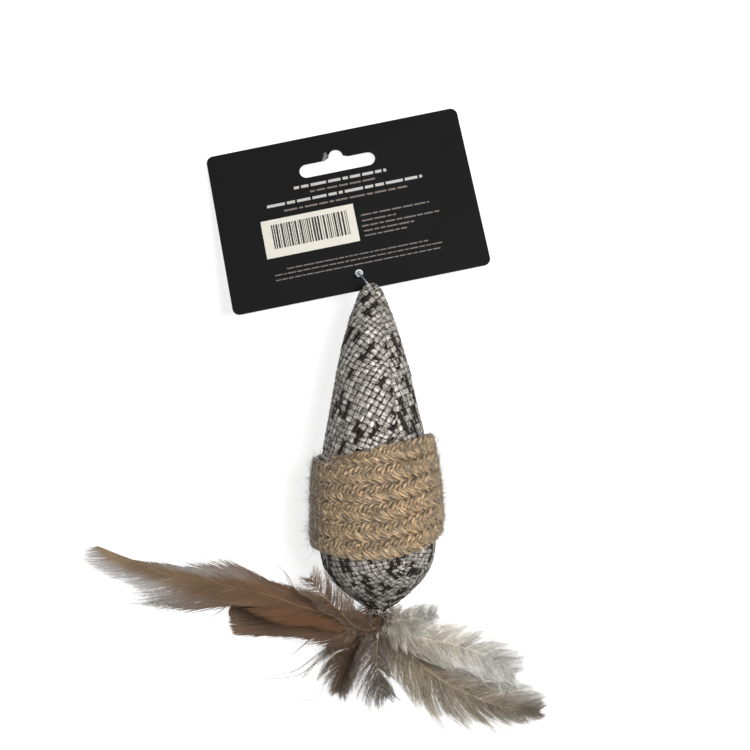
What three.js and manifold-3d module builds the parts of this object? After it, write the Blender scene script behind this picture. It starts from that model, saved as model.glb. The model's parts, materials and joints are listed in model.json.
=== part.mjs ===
// Stuffed teardrop cat toy: a jute braid round its belly, feathers in its tail, a hang card at its nose.
// Millimetres, +Z up. The origin is on the floor under the middle of the braid.
// +Y points to the nose and the card.
import * as THREE from 'three';
import { mergeVertices } from 'three/addons/utils/BufferGeometryUtils.js';
import Module from 'manifold-3d';

const wasm = await Module();
wasm.setup();
const deg = THREE.MathUtils.degToRad;

// Body of the toy
const toyLeanDeg = 1.5;
const noseLength = 83.5;
const tailLength = 47.6;
const tailOpeningInset = 1.0;
const bodyRadius = 23.4;
const noseProfileShares = [
  [0.092, 0.953], [0.245, 0.863], [0.361, 0.778], [0.475, 0.695], [0.595, 0.607],
  [0.702, 0.508], [0.822, 0.385], [0.906, 0.268], [0.966, 0.182], [0.991, 0.105],
];
const tailProfileShares = [
  [0.97, 0.205], [0.95, 0.28], [0.892, 0.435], [0.811, 0.63], [0.714, 0.81],
  [0.614, 0.925], [0.504, 0.98], [0.322, 1], [0.133, 0.991],
];
const bodySides = 24;
const profileSteps = 18;

// Layers of the stuffed skin, from the outside in
const fabricThickness = 0.9;
const liningThickness = 0.4;
const layerGap = 0.3;
const seamAllowance = 3.5;
const seamAngleDeg = 30;

// Thread
const threadThickness = 0.5;
const threadClearance = 0.3;
const stitchLength = 12;
const seamStartInset = 12;
const bindingThreadThickness = 0.6;
const bindingPitch = 1.1;
const bindingTurns = 3;
const closingTurns = 2;
const bindingClearance = 0.35;

// Jute braid wound round the belly
const braidWidth = 6.9;
const braidThickness = 4.2;
const braidPitch = 7.5;
const braidTurns = 5;
const braidTilt = 2.48;
const restFlatDepth = 0.5;
const braidHeadDeg = -45;
const braidTailDeg = 115;
const braidStepsPerTurn = 24;
const braidTaperDeg = 60;
const braidEndShare = 0.4;
const braidFlankShare = 0.68;

// Hang card
const cardWidth = 107.1;
const cardHeight = 70.9;
const cardThickness = 0.5;
const cardCornerRadius = 3;
const cardSlopeDeg = 14.9;
const cardHeadingDeg = 11.4;
const cardHoleRadius = 1.6;
const cardHoleInset = 7.5;
const slotLength = 32;
const slotHeight = 5.9;
const slotInset = 14.9;
const humpWidth = 10.4;
const humpHeight = 3.9;
const humpTopRadius = 3;

// Nylon loop that ties the card to the nose
const filamentDiameter = 0.5;
const filamentClearance = 0.35;
const nosePierceInset = 2.2;
const loopSpan = 7.5;
const loopHeadingDeg = 37.5;
const lockWidth = 2.6;
const lockDepth = 2.2;
const lockHeight = 2;
const lockLift = 0.9;
const holeDropShare = 1.3;
const underCardShares = [[0.66, -0.6], [0.27, -0.6], [0, -0.28], [-0.04, 0.18]];
const overNoseShares = [[0.12, 0.84], [0.42, 0.82], [0.72, 0.32], [0.97, -0.32]];

// Feathers, bound in the tail
const quillDiameter = 0.9;
const quillGap = 0.3;
const quillRootLength = 3.6;
const quillExitLength = 8;
const bindingInset = 4.6;
const pocketClearance = 0.4;
const vaneThickness = 1.2;
const downThickness = 2.2;
const vaneStart = 17;
const feathers = {
  long_brown_feather: {
    row: 2, column: -1, reach: 121, halfWidth: 6.8, tipHeight: 3, droopReach: 121, thickness: vaneThickness,
    routeShares: [[-0.033, -0.081], [-0.075, -0.079], [-0.13, -0.062], [-0.262, -0.028], [-0.36, 0.005],
      [-0.487, 0.028], [-0.627, 0.056], [-0.768, 0.1], [-0.892, 0.147], [-0.985, 0.187]],
    widthShares: [0.12, 0.45, 0.72, 0.95, 1, 1, 0.9, 0.72, 0.5, 0.12],
  },
  short_brown_feather: {
    row: 1, column: 0, reach: 62, halfWidth: 6.4, tipHeight: 2.4, droopReach: 62, thickness: vaneThickness,
    routeShares: [[-0.05, -0.17], [-0.137, -0.19], [-0.253, -0.178], [-0.52, -0.145], [-0.75, -0.1],
      [-0.98, -0.113]],
    widthShares: [0.12, 0.5, 0.75, 0.9, 1, 1, 1, 1, 0.95, 0.8],
  },
  upper_brown_marabou: {
    row: 2, column: 1, reach: 30, halfWidth: 3.6, tipHeight: 37.5, droopReach: 30, thickness: downThickness,
    routeShares: [[-0.02, -0.4], [-0.27, -0.41], [-0.53, -0.16], [-0.73, 0.07], [-0.9, 0.32]],
    widthShares: [0.1, 0.35, 0.8, 1, 1, 0.95, 0.85, 0.7, 0.5, 0.2],
  },
  lower_brown_marabou: {
    row: 0, column: -1, reach: 51, halfWidth: 6.5, tipHeight: 3, droopReach: 45, thickness: downThickness,
    routeShares: [[-0.05, -0.2], [-0.16, -0.372], [-0.28, -0.62], [-0.4, -0.89]],
    widthShares: [0.12, 0.35, 0.6, 0.85, 1, 1, 0.95, 0.8, 0.55, 0.2],
  },
  grey_down_feather: {
    row: 0, column: 1, reach: 54, halfWidth: 6.5, tipHeight: 4.4, droopReach: 66, thickness: downThickness,
    routeShares: [[0.005, -0.2], [-0.025, -0.46], [-0.02, -0.74], [0.03, -0.98]],
    widthShares: [0.12, 0.35, 0.6, 0.85, 1, 1, 0.95, 0.8, 0.55, 0.2],
  },
  white_marabou_tuft: {
    row: -1, column: 1, reach: 28, halfWidth: 5, tipHeight: 30.5, droopReach: 28, thickness: downThickness,
    routeShares: [[0.13, -0.34], [0.35, -0.36], [0.64, -0.34], [0.93, -0.28]],
    widthShares: [0.1, 0.35, 0.8, 1, 1, 0.95, 0.85, 0.7, 0.5, 0.2],
  },
  white_marabou: {
    row: -1, column: -1, reach: 67, halfWidth: 9.5, tipHeight: 5.6, droopReach: 56, thickness: downThickness,
    routeShares: [[0.01, -0.17], [0.2, -0.26], [0.44, -0.345], [0.67, -0.45], [0.83, -0.55]],
    widthShares: [0.1, 0.3, 0.55, 0.8, 1, 1, 0.9, 0.75, 0.5, 0.15],
  },
  cream_marabou: {
    row: -2, column: 0, reach: 84, halfWidth: 9.5, tipHeight: 2.2, droopReach: 42, thickness: downThickness,
    routeShares: [[0.03, -0.13], [0.08, -0.225], [0.24, -0.425], [0.48, -0.57], [0.67, -0.63], [0.77, -0.64]],
    widthShares: [0.1, 0.3, 0.5, 0.8, 1, 1, 0.9, 0.7, 0.45, 0.12],
  },
};
const featherSteps = 16;
const featherSpans = 4;

// Coarseness of round pieces, and how far a cutting solid runs past what it cuts
const mergeTolerance = 1e-4;
const cornerSteps = 5;
const filamentSides = 6;
const filamentSteps = 42;
const coilSides = 6;
const coilSteps = 16;
const holeSides = 12;
const cutOverrun = 5;

const colours = {
  card: [0x1c1c1e, 0.55],
  nylon: [0xdfe3e6, 0.25],
  ribbon: [0xb9b0a4, 0.35],
  lining: [0x22201f, 0.9],
  filling: [0xf1eee8, 1],
  thread: [0x8d867c, 0.8],
  jute: [0xa98a5d, 0.95],
  brown: [0x6b4d33, 0.8],
  russet: [0x74452a, 0.85],
  grey: [0x8a8178, 0.9],
  white: [0xd8d4ca, 0.9],
  cream: [0xb3a488, 0.9],
};

function material(name) {
  const [color, roughness] = colours[name];
  return new THREE.MeshStandardMaterial({ color, roughness, metalness: 0 });
}

// A closed three.js geometry as a solid, with its faces turned outwards
function solidOf(geometry) {
  const bare = geometry.clone();
  bare.deleteAttribute('normal');
  bare.deleteAttribute('uv');
  const merged = mergeVertices(bare.index ? bare.toNonIndexed() : bare, mergeTolerance);
  const vertProperties = new Float32Array(merged.attributes.position.array);
  const triVerts = new Uint32Array(merged.index.array);
  const made = new wasm.Manifold(new wasm.Mesh({ numProp: 3, vertProperties, triVerts }));
  if (made.volume() > 0) return made;
  triVerts.reverse();
  return new wasm.Manifold(new wasm.Mesh({ numProp: 3, vertProperties, triVerts }));
}

function meshOf(solid, name, look) {
  const out = solid.getMesh();
  const positions = new Float32Array(out.numVert * 3);
  for (let i = 0; i < out.numVert; i++) {
    positions.set(out.vertProperties.subarray(i * out.numProp, i * out.numProp + 3), i * 3);
  }
  const geometry = new THREE.BufferGeometry();
  geometry.setAttribute('position', new THREE.BufferAttribute(positions, 3));
  geometry.setIndex(new THREE.BufferAttribute(new Uint32Array(out.triVerts), 1));
  geometry.computeVertexNormals();
  const mesh = new THREE.Mesh(geometry, material(look));
  mesh.name = name;
  return mesh;
}

// Outline of the body from tail to nose as points of radius and distance along the axis, drawn in by an inset
function bodyOutline(inset) {
  const tail = tailProfileShares.map(([along, out]) => [-along * tailLength, out * bodyRadius]);
  const nose = noseProfileShares.map(([along, out]) => [along * noseLength, out * bodyRadius]);
  const curve = new THREE.SplineCurve([...tail, ...nose].map(([y, r]) => new THREE.Vector2(r, y)));
  const points = curve.getPoints(profileSteps).filter((p) => p.x > inset);
  points.forEach((p) => {
    p.x -= inset;
  });
  const tip = new THREE.Vector2(0, Math.max(points.at(-1).y, noseLength - inset));
  const end = new THREE.Vector2(0, -tailLength - cutOverrun);
  const throat = new THREE.Vector2(points[0].x, -tailLength - cutOverrun);
  return [end, throat, ...points, tip];
}

function bodySolid(inset) {
  return solidOf(new THREE.LatheGeometry(bodyOutline(inset), bodySides));
}

// Radius of the body's outside at a place along its axis
function bodyRadiusAt(y) {
  const outline = bodyOutline(0).slice(1);
  const next = outline.findIndex((p) => p.y > y);
  const [low, high] = [outline[next - 1], outline[next]];
  return THREE.MathUtils.mapLinear(y, low.y, high.y, low.x, high.x);
}

// Everything that lies more than a distance from the seam plane, on one side of it
function halfSpace(side, distance) {
  const size = 2 * (noseLength + tailLength);
  const box = new THREE.BoxGeometry(size, 2 * size, size);
  box.translate(side * (size / 2 + distance), 0, 0);
  box.rotateY(deg(seamAngleDeg));
  return solidOf(box);
}

// A round tube along a curve; a full circle is drawn with two sides for each of its curve segments
function tube(points, thickness, sides, steps) {
  const section = new THREE.Shape();
  section.absarc(0, 0, thickness / 2, 0, 2 * Math.PI, false);
  return solidOf(
    new THREE.ExtrudeGeometry(section, {
      steps,
      curveSegments: sides / 2,
      extrudePath: new THREE.CatmullRomCurve3(points, false, 'centripetal'),
    }),
  );
}

// A straight bar of square section between two points
function bar(from, to, thickness) {
  const place = new THREE.Object3D();
  place.position.copy(from).lerp(to, 1 / 2);
  place.lookAt(to);
  place.updateMatrix();
  const box = new THREE.BoxGeometry(thickness, thickness, from.distanceTo(to) + thickness);
  return solidOf(box.applyMatrix4(place.matrix));
}

// Rings of a thread of square section, mitred at the corners of its path; outward points away from the body
function threadRings(points, outward, thickness) {
  const lines = points.slice(1).map((to, i) => to.clone().sub(points[i]).normalize());
  const half = thickness / 2;
  return points.map((corner, i) => {
    const [before, after] = [lines[Math.max(i - 1, 0)], lines[Math.min(i, lines.length - 1)]];
    const inner = Math.min(Math.max(i, 1), lines.length - 1);
    const up = lines[inner - 1].clone().cross(lines[inner]).normalize();
    if (up.dot(outward) < 0) up.negate();
    const side = up.clone().cross(before);
    if (before !== after) side.add(up.clone().cross(after));
    return [[-1, -1], [1, -1], [1, 1], [-1, 1]].map(([across, lift]) =>
      corner.clone().addScaledVector(side, across * half).addScaledVector(up, lift * half));
  });
}

// Where the layers lie beside the seam plane
const fabricEdge = layerGap / 2;
const fabricFin = fabricEdge + fabricThickness;
const liningEdge = fabricFin + layerGap;
const stitchSide = fabricFin + layerGap + threadThickness / 2;
const fillingEdge = stitchSide + threadThickness / 2 + layerGap;

// How far the layers lie under the outside of the body
const liningInset = fabricThickness + layerGap;
const fillingInset = liningInset + liningThickness + layerGap;
const finInset = fabricThickness + seamAllowance;
const openingPlane = -(tailLength - tailOpeningInset);
const bindingPlane = openingPlane + bindingInset;
const pocketPlane = bindingPlane + quillRootLength + pocketClearance;

// Radii of the threads round the quills, outside the widest row of the bundle
const rowPitch = quillDiameter + quillGap;
const bundleRadius = Math.hypot(2 * rowPitch, rowPitch) + quillDiameter / 2;
const bindingRadius = bundleRadius + bindingClearance + bindingThreadThickness / 2;
const pocketRadius = bindingRadius + bindingThreadThickness / 2 + pocketClearance;

// Needle's path of the thread through the turned-in edges of one seam
function seamPath(turn) {
  const outline = bodyOutline(fabricThickness + seamAllowance / 2).slice(2, -1);
  const curve = new THREE.CurvePath();
  for (let i = 1; i < outline.length; i++) {
    curve.add(new THREE.LineCurve(outline[i - 1], outline[i]));
  }
  const length = curve.getLength();
  const count = Math.floor((length - 2 * seamStartInset) / stitchLength);
  const points = [];
  for (let i = 0; i <= count; i++) {
    const at = curve.getPointAt((seamStartInset + i * stitchLength) / length);
    for (const flip of [1, -1]) {
      const side = (i % 2 ? -flip : flip) * stitchSide;
      points.push(new THREE.Vector3(side, at.y, at.x).applyAxisAngle(THREE.Object3D.DEFAULT_UP, turn));
    }
  }
  return points;
}

const seamTurns = { front: deg(seamAngleDeg), back: deg(seamAngleDeg) + Math.PI };

// What goes through every layer: the loop's hole in the nose and the pocket of the quills in the tail
function layerHoles() {
  const pierceRadius = filamentDiameter / 2 + filamentClearance;
  const pierce = new THREE.CylinderGeometry(pierceRadius, pierceRadius, 2 * bodyRadius, holeSides);
  pierce.rotateX(Math.PI / 2);
  pierce.translate(0, noseLength - nosePierceInset, 0);
  const pocketLength = pocketPlane + tailLength + cutOverrun;
  const pocket = new THREE.CylinderGeometry(pocketRadius, pocketRadius, pocketLength, bodySides);
  pocket.translate(0, pocketPlane - pocketLength / 2, 0);
  return solidOf(pierce).add(solidOf(pocket).intersect(bodySolid(fabricThickness)));
}

// Where the needle went through both turned-in edges
function needleHoles() {
  const wide = threadThickness + 2 * threadClearance;
  const paths = Object.values(seamTurns).map(seamPath);
  const bars = paths.flatMap((path) => path.filter((_, i) => i % 2).map((to, i) => bar(path[2 * i], to, wide)));
  return bars.reduce((joined, next) => joined.add(next));
}

// Everything ahead of the cut end of the tail
function aheadOfOpening() {
  const size = 2 * (noseLength + tailLength);
  const box = new THREE.BoxGeometry(size, size, size);
  box.translate(0, openingPlane + size / 2, 0);
  return solidOf(box);
}

const holes = layerHoles().add(needleHoles());
const ahead = aheadOfOpening();

// Half of the woven cover, with its edge turned in along the seam
function bodyPanel(side, name) {
  const whole = bodySolid(0).subtract(bodySolid(finInset)).intersect(halfSpace(side, fabricEdge));
  const hollow = bodySolid(fabricThickness).intersect(halfSpace(side, fabricFin));
  return meshOf(whole.subtract(hollow).subtract(holes).intersect(ahead), name, 'ribbon');
}

function liningPanel(side, name) {
  const layer = bodySolid(liningInset).subtract(bodySolid(liningInset + liningThickness));
  return meshOf(layer.intersect(halfSpace(side, liningEdge)).subtract(holes).intersect(ahead), name, 'lining');
}

function fibreFilling() {
  const whole = bodySolid(fillingInset);
  const core = bodySolid(finInset + layerGap);
  const beside = halfSpace(1, fillingEdge).add(halfSpace(-1, fillingEdge));
  const kept = whole.intersect(beside).add(core);
  const behind = new THREE.BoxGeometry(2 * bodyRadius, tailLength, 2 * bodyRadius);
  behind.translate(0, pocketPlane - tailLength / 2, 0);
  return meshOf(kept.subtract(holes).subtract(solidOf(behind)), 'fibre_filling', 'filling');
}

function seamThread(name, turn) {
  const outward = new THREE.Vector3(Math.sin(turn), 0, Math.cos(turn));
  return meshOf(tubeOfRings(threadRings(seamPath(turn), outward, threadThickness)), name, 'thread');
}

// Radius at which the braid lies on the body, clear of the body's corners, and the axis' height over the floor
function braidSeat(y) {
  return bodyRadiusAt(y) / Math.cos(Math.PI / bodySides) + layerGap;
}

const axisHeight = braidSeat(0) + braidThickness - restFlatDepth;

// The braid's middle line: a tilted winding that starts at the nose end and falls turn by turn towards the tail
function braidPlace(turnDeg) {
  return (braidPitch * braidTurns) / 2 - (braidPitch * turnDeg) / 360 + braidTilt * Math.sin(deg(turnDeg));
}

function braidRing(turnDeg, firstDeg, lastDeg) {
  const fromEnd = Math.min(turnDeg - firstDeg, lastDeg - turnDeg) / braidTaperDeg;
  const taper = THREE.MathUtils.lerp(braidEndShare, 1, Math.min(1, fromEnd));
  const half = (braidWidth / 2) * taper;
  const middle = braidPlace(turnDeg) + (turnDeg < (firstDeg + lastDeg) / 2 ? -1 : 1) * (braidWidth / 2 - half);
  const flat = half * braidFlankShare;
  const thick = braidThickness * Math.sqrt(taper);
  const section = [
    [-flat, thick], [flat, thick], [half, thick / 2], [flat, 0], [-flat, 0], [-half, thick / 2],
  ];
  return section.map(([side, lift]) => {
    const y = middle + side;
    const radius = braidSeat(y) + lift;
    return new THREE.Vector3(radius * Math.sin(deg(turnDeg)), y, radius * Math.cos(deg(turnDeg)));
  });
}

function braidRings() {
  const lastDeg = 360 * braidTurns + braidTailDeg;
  const count = Math.round(((lastDeg - braidHeadDeg) / 360) * braidStepsPerTurn);
  const rings = [];
  for (let i = 0; i <= count; i++) {
    rings.push(braidRing(braidHeadDeg + ((lastDeg - braidHeadDeg) * i) / count, braidHeadDeg, lastDeg));
  }
  return rings;
}

// Rings of points joined into one closed tube
function tubeOfRings(rings) {
  const sides = rings[0].length;
  const index = [];
  for (let i = 1; i < rings.length; i++) {
    for (let k = 0; k < sides; k++) {
      const [a, b] = [(i - 1) * sides + k, (i - 1) * sides + ((k + 1) % sides)];
      index.push(a, b, b + sides, a, b + sides, a + sides);
    }
  }
  const last = (rings.length - 1) * sides;
  for (let k = 2; k < sides; k++) {
    index.push(0, k, k - 1, last, last + k - 1, last + k);
  }
  const geometry = new THREE.BufferGeometry().setFromPoints(rings.flat());
  geometry.setIndex(index);
  return solidOf(geometry);
}

// Least gap between a winding's turns, measured on its points
function leastGap(rings, stepsPerTurn) {
  let least = Infinity;
  for (let i = stepsPerTurn / 2; i < rings.length; i++) {
    for (let j = 0; j <= i - stepsPerTurn / 2; j++) {
      for (const p of rings[i]) {
        for (const q of rings[j]) least = Math.min(least, p.distanceTo(q));
      }
    }
  }
  return least;
}

function juteWrap() {
  const rings = braidRings();
  console.log('jute_wrap: least gap to itself ' + leastGap(rings, braidStepsPerTurn).toFixed(2) + ' mm');
  const floor = new THREE.BoxGeometry(4 * bodyRadius, 4 * bodyRadius, bodyRadius);
  floor.translate(0, 0, -axisHeight - bodyRadius / 2);
  return meshOf(tubeOfRings(rings).subtract(solidOf(floor)), 'jute_wrap', 'jute');
}

// A thread wound round the quills, as rings of points along the toy's axis
function threadCoil(name, middle, turns, radius) {
  const count = turns * coilSteps;
  const rings = [];
  for (let i = 0; i <= count; i++) {
    const turn = (2 * Math.PI * i) / coilSteps;
    const y = middle + bindingPitch * (i / coilSteps - turns / 2);
    const ring = [];
    for (let k = 0; k < coilSides; k++) {
      const around = (-2 * Math.PI * k) / coilSides;
      const out = radius + (bindingThreadThickness / 2) * Math.cos(around);
      const along = y + (bindingThreadThickness / 2) * Math.sin(around);
      ring.push(new THREE.Vector3(out * Math.sin(turn), along, out * Math.cos(turn)));
    }
    rings.push(ring);
  }
  console.log(name + ': least gap to itself ' + leastGap(rings, coilSteps).toFixed(2) + ' mm');
  return meshOf(tubeOfRings(rings), name, 'thread');
}

function featherBinding() {
  return threadCoil('feather_binding_thread', bindingPlane, bindingTurns, bindingRadius);
}

function tailClosing() {
  const half = (bindingPitch * closingTurns) / 2 + bindingThreadThickness / 2;
  const radius = pocketRadius + bindingThreadThickness / 2;
  return threadCoil('tail_closing_thread', openingPlane - threadClearance - half, closingTurns, radius);
}

// A feather's height at a distance from the binding: level through the tail, then sagging to its resting height
function featherHeight(feather, distance) {
  const root = feather.row * rowPitch;
  const along = (distance - quillExitLength) / (feather.droopReach - quillExitLength);
  return THREE.MathUtils.lerp(root, feather.tipHeight - axisHeight, THREE.MathUtils.smoothstep(along, 0, 1));
}

function sharesAt(shares, along) {
  const place = along * (shares.length - 1);
  const low = Math.min(Math.floor(place), shares.length - 2);
  return THREE.MathUtils.lerp(shares[low], shares[low + 1], place - low);
}

// One feather: a quill out of the binding that widens into a thin vane, swept along its route and draped
function featherMesh(name, feather, look) {
  const column = (feather.column * rowPitch) / 2;
  const route = [
    new THREE.Vector3(column, quillRootLength, 0),
    new THREE.Vector3(column, 0, 0),
    new THREE.Vector3(column, -quillExitLength, 0),
    ...feather.routeShares.map(([x, y]) => new THREE.Vector3(x * feather.reach, y * feather.reach, 0)),
  ];
  const curve = new THREE.CatmullRomCurve3(route, false, 'centripetal');
  const length = curve.getLength();
  const geometry = new THREE.BoxGeometry(1, 1, 1, featherSpans, featherSteps, 1);
  const place = geometry.attributes.position;
  const quillHalf = quillDiameter / 2;
  for (let i = 0; i < place.count; i++) {
    const along = place.getY(i) + 1 / 2;
    const across = 2 * place.getX(i);
    const vane = (along * length - vaneStart) / (length - vaneStart);
    const share = vane > 0 ? sharesAt(feather.widthShares, vane) : 0;
    const width = Math.max(quillHalf, share * feather.halfWidth);
    const crown = Math.max(quillHalf, (share * feather.thickness) / 2) * (1 - across ** 2 / 2);
    const middle = curve.getPointAt(along);
    const tangent = curve.getTangentAt(along);
    const x = middle.x - tangent.y * across * width;
    const y = middle.y + tangent.x * across * width;
    place.setXYZ(i, x, y, featherHeight(feather, Math.hypot(x, y)) + 2 * place.getZ(i) * crown);
  }
  return meshOf(solidOf(geometry), name, look);
}

function cardShape() {
  const near = -cardHoleInset + cardHoleRadius - filamentDiameter / 2 - filamentClearance;
  const [left, right, far] = [-cardWidth / 2, cardWidth / 2, near + cardHeight];
  const r = cardCornerRadius;
  const shape = new THREE.Shape();
  shape.absarc(right - r, near + r, r, -Math.PI / 2, 0, false);
  shape.absarc(right - r, far - r, r, 0, Math.PI / 2, false);
  shape.absarc(left + r, far - r, r, Math.PI / 2, Math.PI, false);
  shape.absarc(left + r, near + r, r, Math.PI, (3 * Math.PI) / 2, false);
  const hole = new THREE.Path();
  hole.absarc(0, near + cardHoleInset, cardHoleRadius, 0, 2 * Math.PI, true);
  const slot = new THREE.Path();
  const [slotRadius, middle] = [slotHeight / 2, far - slotInset];
  const endX = slotLength / 2 - slotRadius;
  slot.absarc(endX, middle, slotRadius, -Math.PI / 2, Math.PI / 2, false);
  slot.lineTo(humpWidth / 2, middle + slotRadius);
  slot.absarc(0, middle + slotRadius + humpHeight - humpTopRadius, humpTopRadius, 0, Math.PI, false);
  slot.lineTo(-humpWidth / 2, middle + slotRadius);
  slot.absarc(-endX, middle, slotRadius, Math.PI / 2, (3 * Math.PI) / 2, false);
  slot.closePath();
  shape.holes.push(hole, slot);
  return { shape, far };
}

const card = cardShape();
const pivotHeight = card.far * Math.sin(deg(cardSlopeDeg)) + (cardThickness / 2) * Math.cos(deg(cardSlopeDeg));

function hangCard() {
  const form = { depth: cardThickness, bevelEnabled: false, curveSegments: cornerSteps };
  const sheet = new THREE.ExtrudeGeometry(card.shape, form);
  sheet.translate(0, 0, -cardThickness / 2);
  return meshOf(solidOf(sheet), 'hang_card', 'card');
}

// The loop lies in one upright plane: down through the nose, under the card's edge and up through its hole
function tagFastener() {
  const drop = pivotHeight - axisHeight;
  const slope = Math.atan(Math.tan(deg(cardSlopeDeg)) * Math.cos(deg(loopHeadingDeg - cardHeadingDeg)));
  const hole = new THREE.Vector3(0, loopSpan, drop);
  const normal = new THREE.Vector3(0, Math.sin(slope), Math.cos(slope));
  const fromHole = (share) => hole.clone().addScaledVector(normal, share * lockHeight);
  const seat = (lockLift + cardThickness / 2) / lockHeight;
  const places = (shares, z) => shares.map(([y, up]) => new THREE.Vector3(0, y * loopSpan, z + up * loopSpan));
  const noseRadius = bodyRadiusAt(noseLength - nosePierceInset);
  const path = [
    fromHole(seat + 1 / 2), fromHole(0), fromHole(-holeDropShare), ...places(underCardShares, drop),
    new THREE.Vector3(0, 0, -noseRadius), new THREE.Vector3(0, 0, 0), new THREE.Vector3(0, 0, noseRadius),
    ...places(overNoseShares, 0), fromHole(seat + 1), fromHole(seat + 1 / 2),
  ];
  const lock = new THREE.BoxGeometry(lockWidth, lockDepth, lockHeight);
  lock.rotateX(-slope);
  const centre = fromHole(seat + 1 / 2);
  lock.translate(centre.x, centre.y, centre.z);
  const loop = tube(path, filamentDiameter, filamentSides, filamentSteps);
  return meshOf(loop.add(solidOf(lock)), 'tag_fastener', 'nylon');
}

function placed(group, x, y, z, headingDeg, slopeDeg) {
  group.position.set(x, y, z);
  group.rotation.set(deg(-slopeDeg), 0, deg(headingDeg), 'ZYX');
  return group;
}

const featherLooks = {
  long_brown_feather: 'brown',
  short_brown_feather: 'brown',
  upper_brown_marabou: 'russet',
  lower_brown_marabou: 'russet',
  grey_down_feather: 'grey',
  white_marabou_tuft: 'white',
  white_marabou: 'white',
  cream_marabou: 'cream',
};

function buildToy() {
  const toy = placed(new THREE.Group(), 0, 0, axisHeight, toyLeanDeg, 0);
  toy.add(
    bodyPanel(1, 'body_panel_right'), bodyPanel(-1, 'body_panel_left'),
    liningPanel(1, 'lining_right'), liningPanel(-1, 'lining_left'),
    fibreFilling(),
    seamThread('front_seam_thread', seamTurns.front), seamThread('back_seam_thread', seamTurns.back),
    juteWrap(), tailClosing(), featherBinding(),
  );
  const plume = placed(new THREE.Group(), 0, bindingPlane, 0, 0, 0);
  for (const [name, feather] of Object.entries(feathers)) {
    plume.add(featherMesh(name, feather, featherLooks[name]));
  }
  toy.add(plume);
  return toy;
}

// The card and its loop hang on the upright hole through the nose
function buildTag() {
  const reach = noseLength - nosePierceInset;
  const nose = [-reach * Math.sin(deg(toyLeanDeg)), reach * Math.cos(deg(toyLeanDeg))];
  const hole = [
    nose[0] - loopSpan * Math.sin(deg(loopHeadingDeg)), nose[1] + loopSpan * Math.cos(deg(loopHeadingDeg)),
  ];
  const loop = placed(new THREE.Group(), nose[0], nose[1], axisHeight, loopHeadingDeg, 0);
  loop.add(tagFastener());
  const sheet = placed(new THREE.Group(), hole[0], hole[1], pivotHeight, cardHeadingDeg, cardSlopeDeg);
  sheet.add(hangCard());
  return new THREE.Group().add(loop, sheet);
}

const catToy = new THREE.Group();
catToy.add(buildToy(), buildTag());

export default catToy;
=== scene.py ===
import json
import math

import bmesh
import bpy
import numpy as np
from mathutils import Matrix, Vector


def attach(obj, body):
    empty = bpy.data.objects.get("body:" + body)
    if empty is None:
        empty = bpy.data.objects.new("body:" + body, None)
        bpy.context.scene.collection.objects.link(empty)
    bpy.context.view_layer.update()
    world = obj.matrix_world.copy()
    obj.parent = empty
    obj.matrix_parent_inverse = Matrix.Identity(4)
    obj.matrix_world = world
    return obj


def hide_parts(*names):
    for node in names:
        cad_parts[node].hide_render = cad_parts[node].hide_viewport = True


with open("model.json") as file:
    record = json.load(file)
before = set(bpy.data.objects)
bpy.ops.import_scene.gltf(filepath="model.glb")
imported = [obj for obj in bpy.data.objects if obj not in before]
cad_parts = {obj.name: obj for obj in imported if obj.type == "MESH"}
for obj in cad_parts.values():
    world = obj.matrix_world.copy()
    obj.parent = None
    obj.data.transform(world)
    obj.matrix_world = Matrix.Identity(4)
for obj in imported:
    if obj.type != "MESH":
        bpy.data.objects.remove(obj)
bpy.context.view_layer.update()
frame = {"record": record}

mm = 0.001
joints = {joint["name"]: joint for joint in frame["record"]["behaviour"]["joints"]}

# Where things are: the toy's level axis leans a little from +Y, and the card slopes down from the nose
nosePivot = np.array(joints["tag_swing"]["pos_m"])
cardPivot = np.array(joints["card_flap"]["pos_m"])
bindingPivot = np.array(joints["brown_feather_sway"]["pos_m"])
toyLean = math.atan2(bindingPivot[0] - nosePivot[0], nosePivot[1] - bindingPivot[1])
cardHeading = math.atan2(joints["card_flap"]["axis"][1], joints["card_flap"]["axis"][0])


def toyPlace(x, y, z):
    # Toy coordinates, with y along its axis, to the frame's
    c, s = math.cos(toyLean), math.sin(toyLean)
    return np.stack([x * c - y * s, x * s + y * c, z + nosePivot[2]], axis=-1)


photo = {
    "size": 750,
    "middle": (376, 375),
    "metresPerPixel": 0.42 * mm,
    "distance": 0.6,
    "centreY": 46.55 * mm,
}


# Pieces


def newObject(name, data):
    made = bpy.data.objects.new(name, data)
    bpy.context.scene.collection.objects.link(made)
    return made


def ridingPiece(name, mesh, body, stands=()):
    # A finished mesh as a piece that rides on a body and may stand for solids of the frame
    piece = newObject(name, mesh)
    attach(piece, body)
    if stands:
        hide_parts(*stands)
    return piece


def makePiece(name, points, faces, look, body, stands=(), layers=None, smooth=True):
    # A piece from points and faces, with layers of values at the points for its material to read
    mesh = bpy.data.meshes.new(name)
    points = np.asarray(points, dtype=float).reshape(-1, 3)
    mesh.from_pydata(points.tolist(), [], np.asarray(faces, dtype=int).tolist())
    for key, values in (layers or {}).items():
        values = np.asarray(values, dtype=np.float32)
        kind, field = ("FLOAT_VECTOR", "vector") if values.ndim > 1 else ("FLOAT", "value")
        layer = mesh.attributes.new(key, kind, "POINT")
        layer.data.foreach_set(field, values.reshape(-1))
    mesh.polygons.foreach_set("use_smooth", np.full(len(mesh.polygons), smooth))
    mesh.materials.append(look)
    return ridingPiece(name, mesh, body, stands)


def gridFaces(rows, columns, closed=False):
    # Four-sided faces between neighbouring rows of a grid of points
    steps = columns if closed else columns - 1
    row, column = np.meshgrid(np.arange(rows - 1), np.arange(steps), indexing="ij")
    a, b = row * columns + column, row * columns + (column + 1) % columns
    return np.stack([a, b, b + columns, a + columns], axis=-1).reshape(-1, 4)


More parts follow.
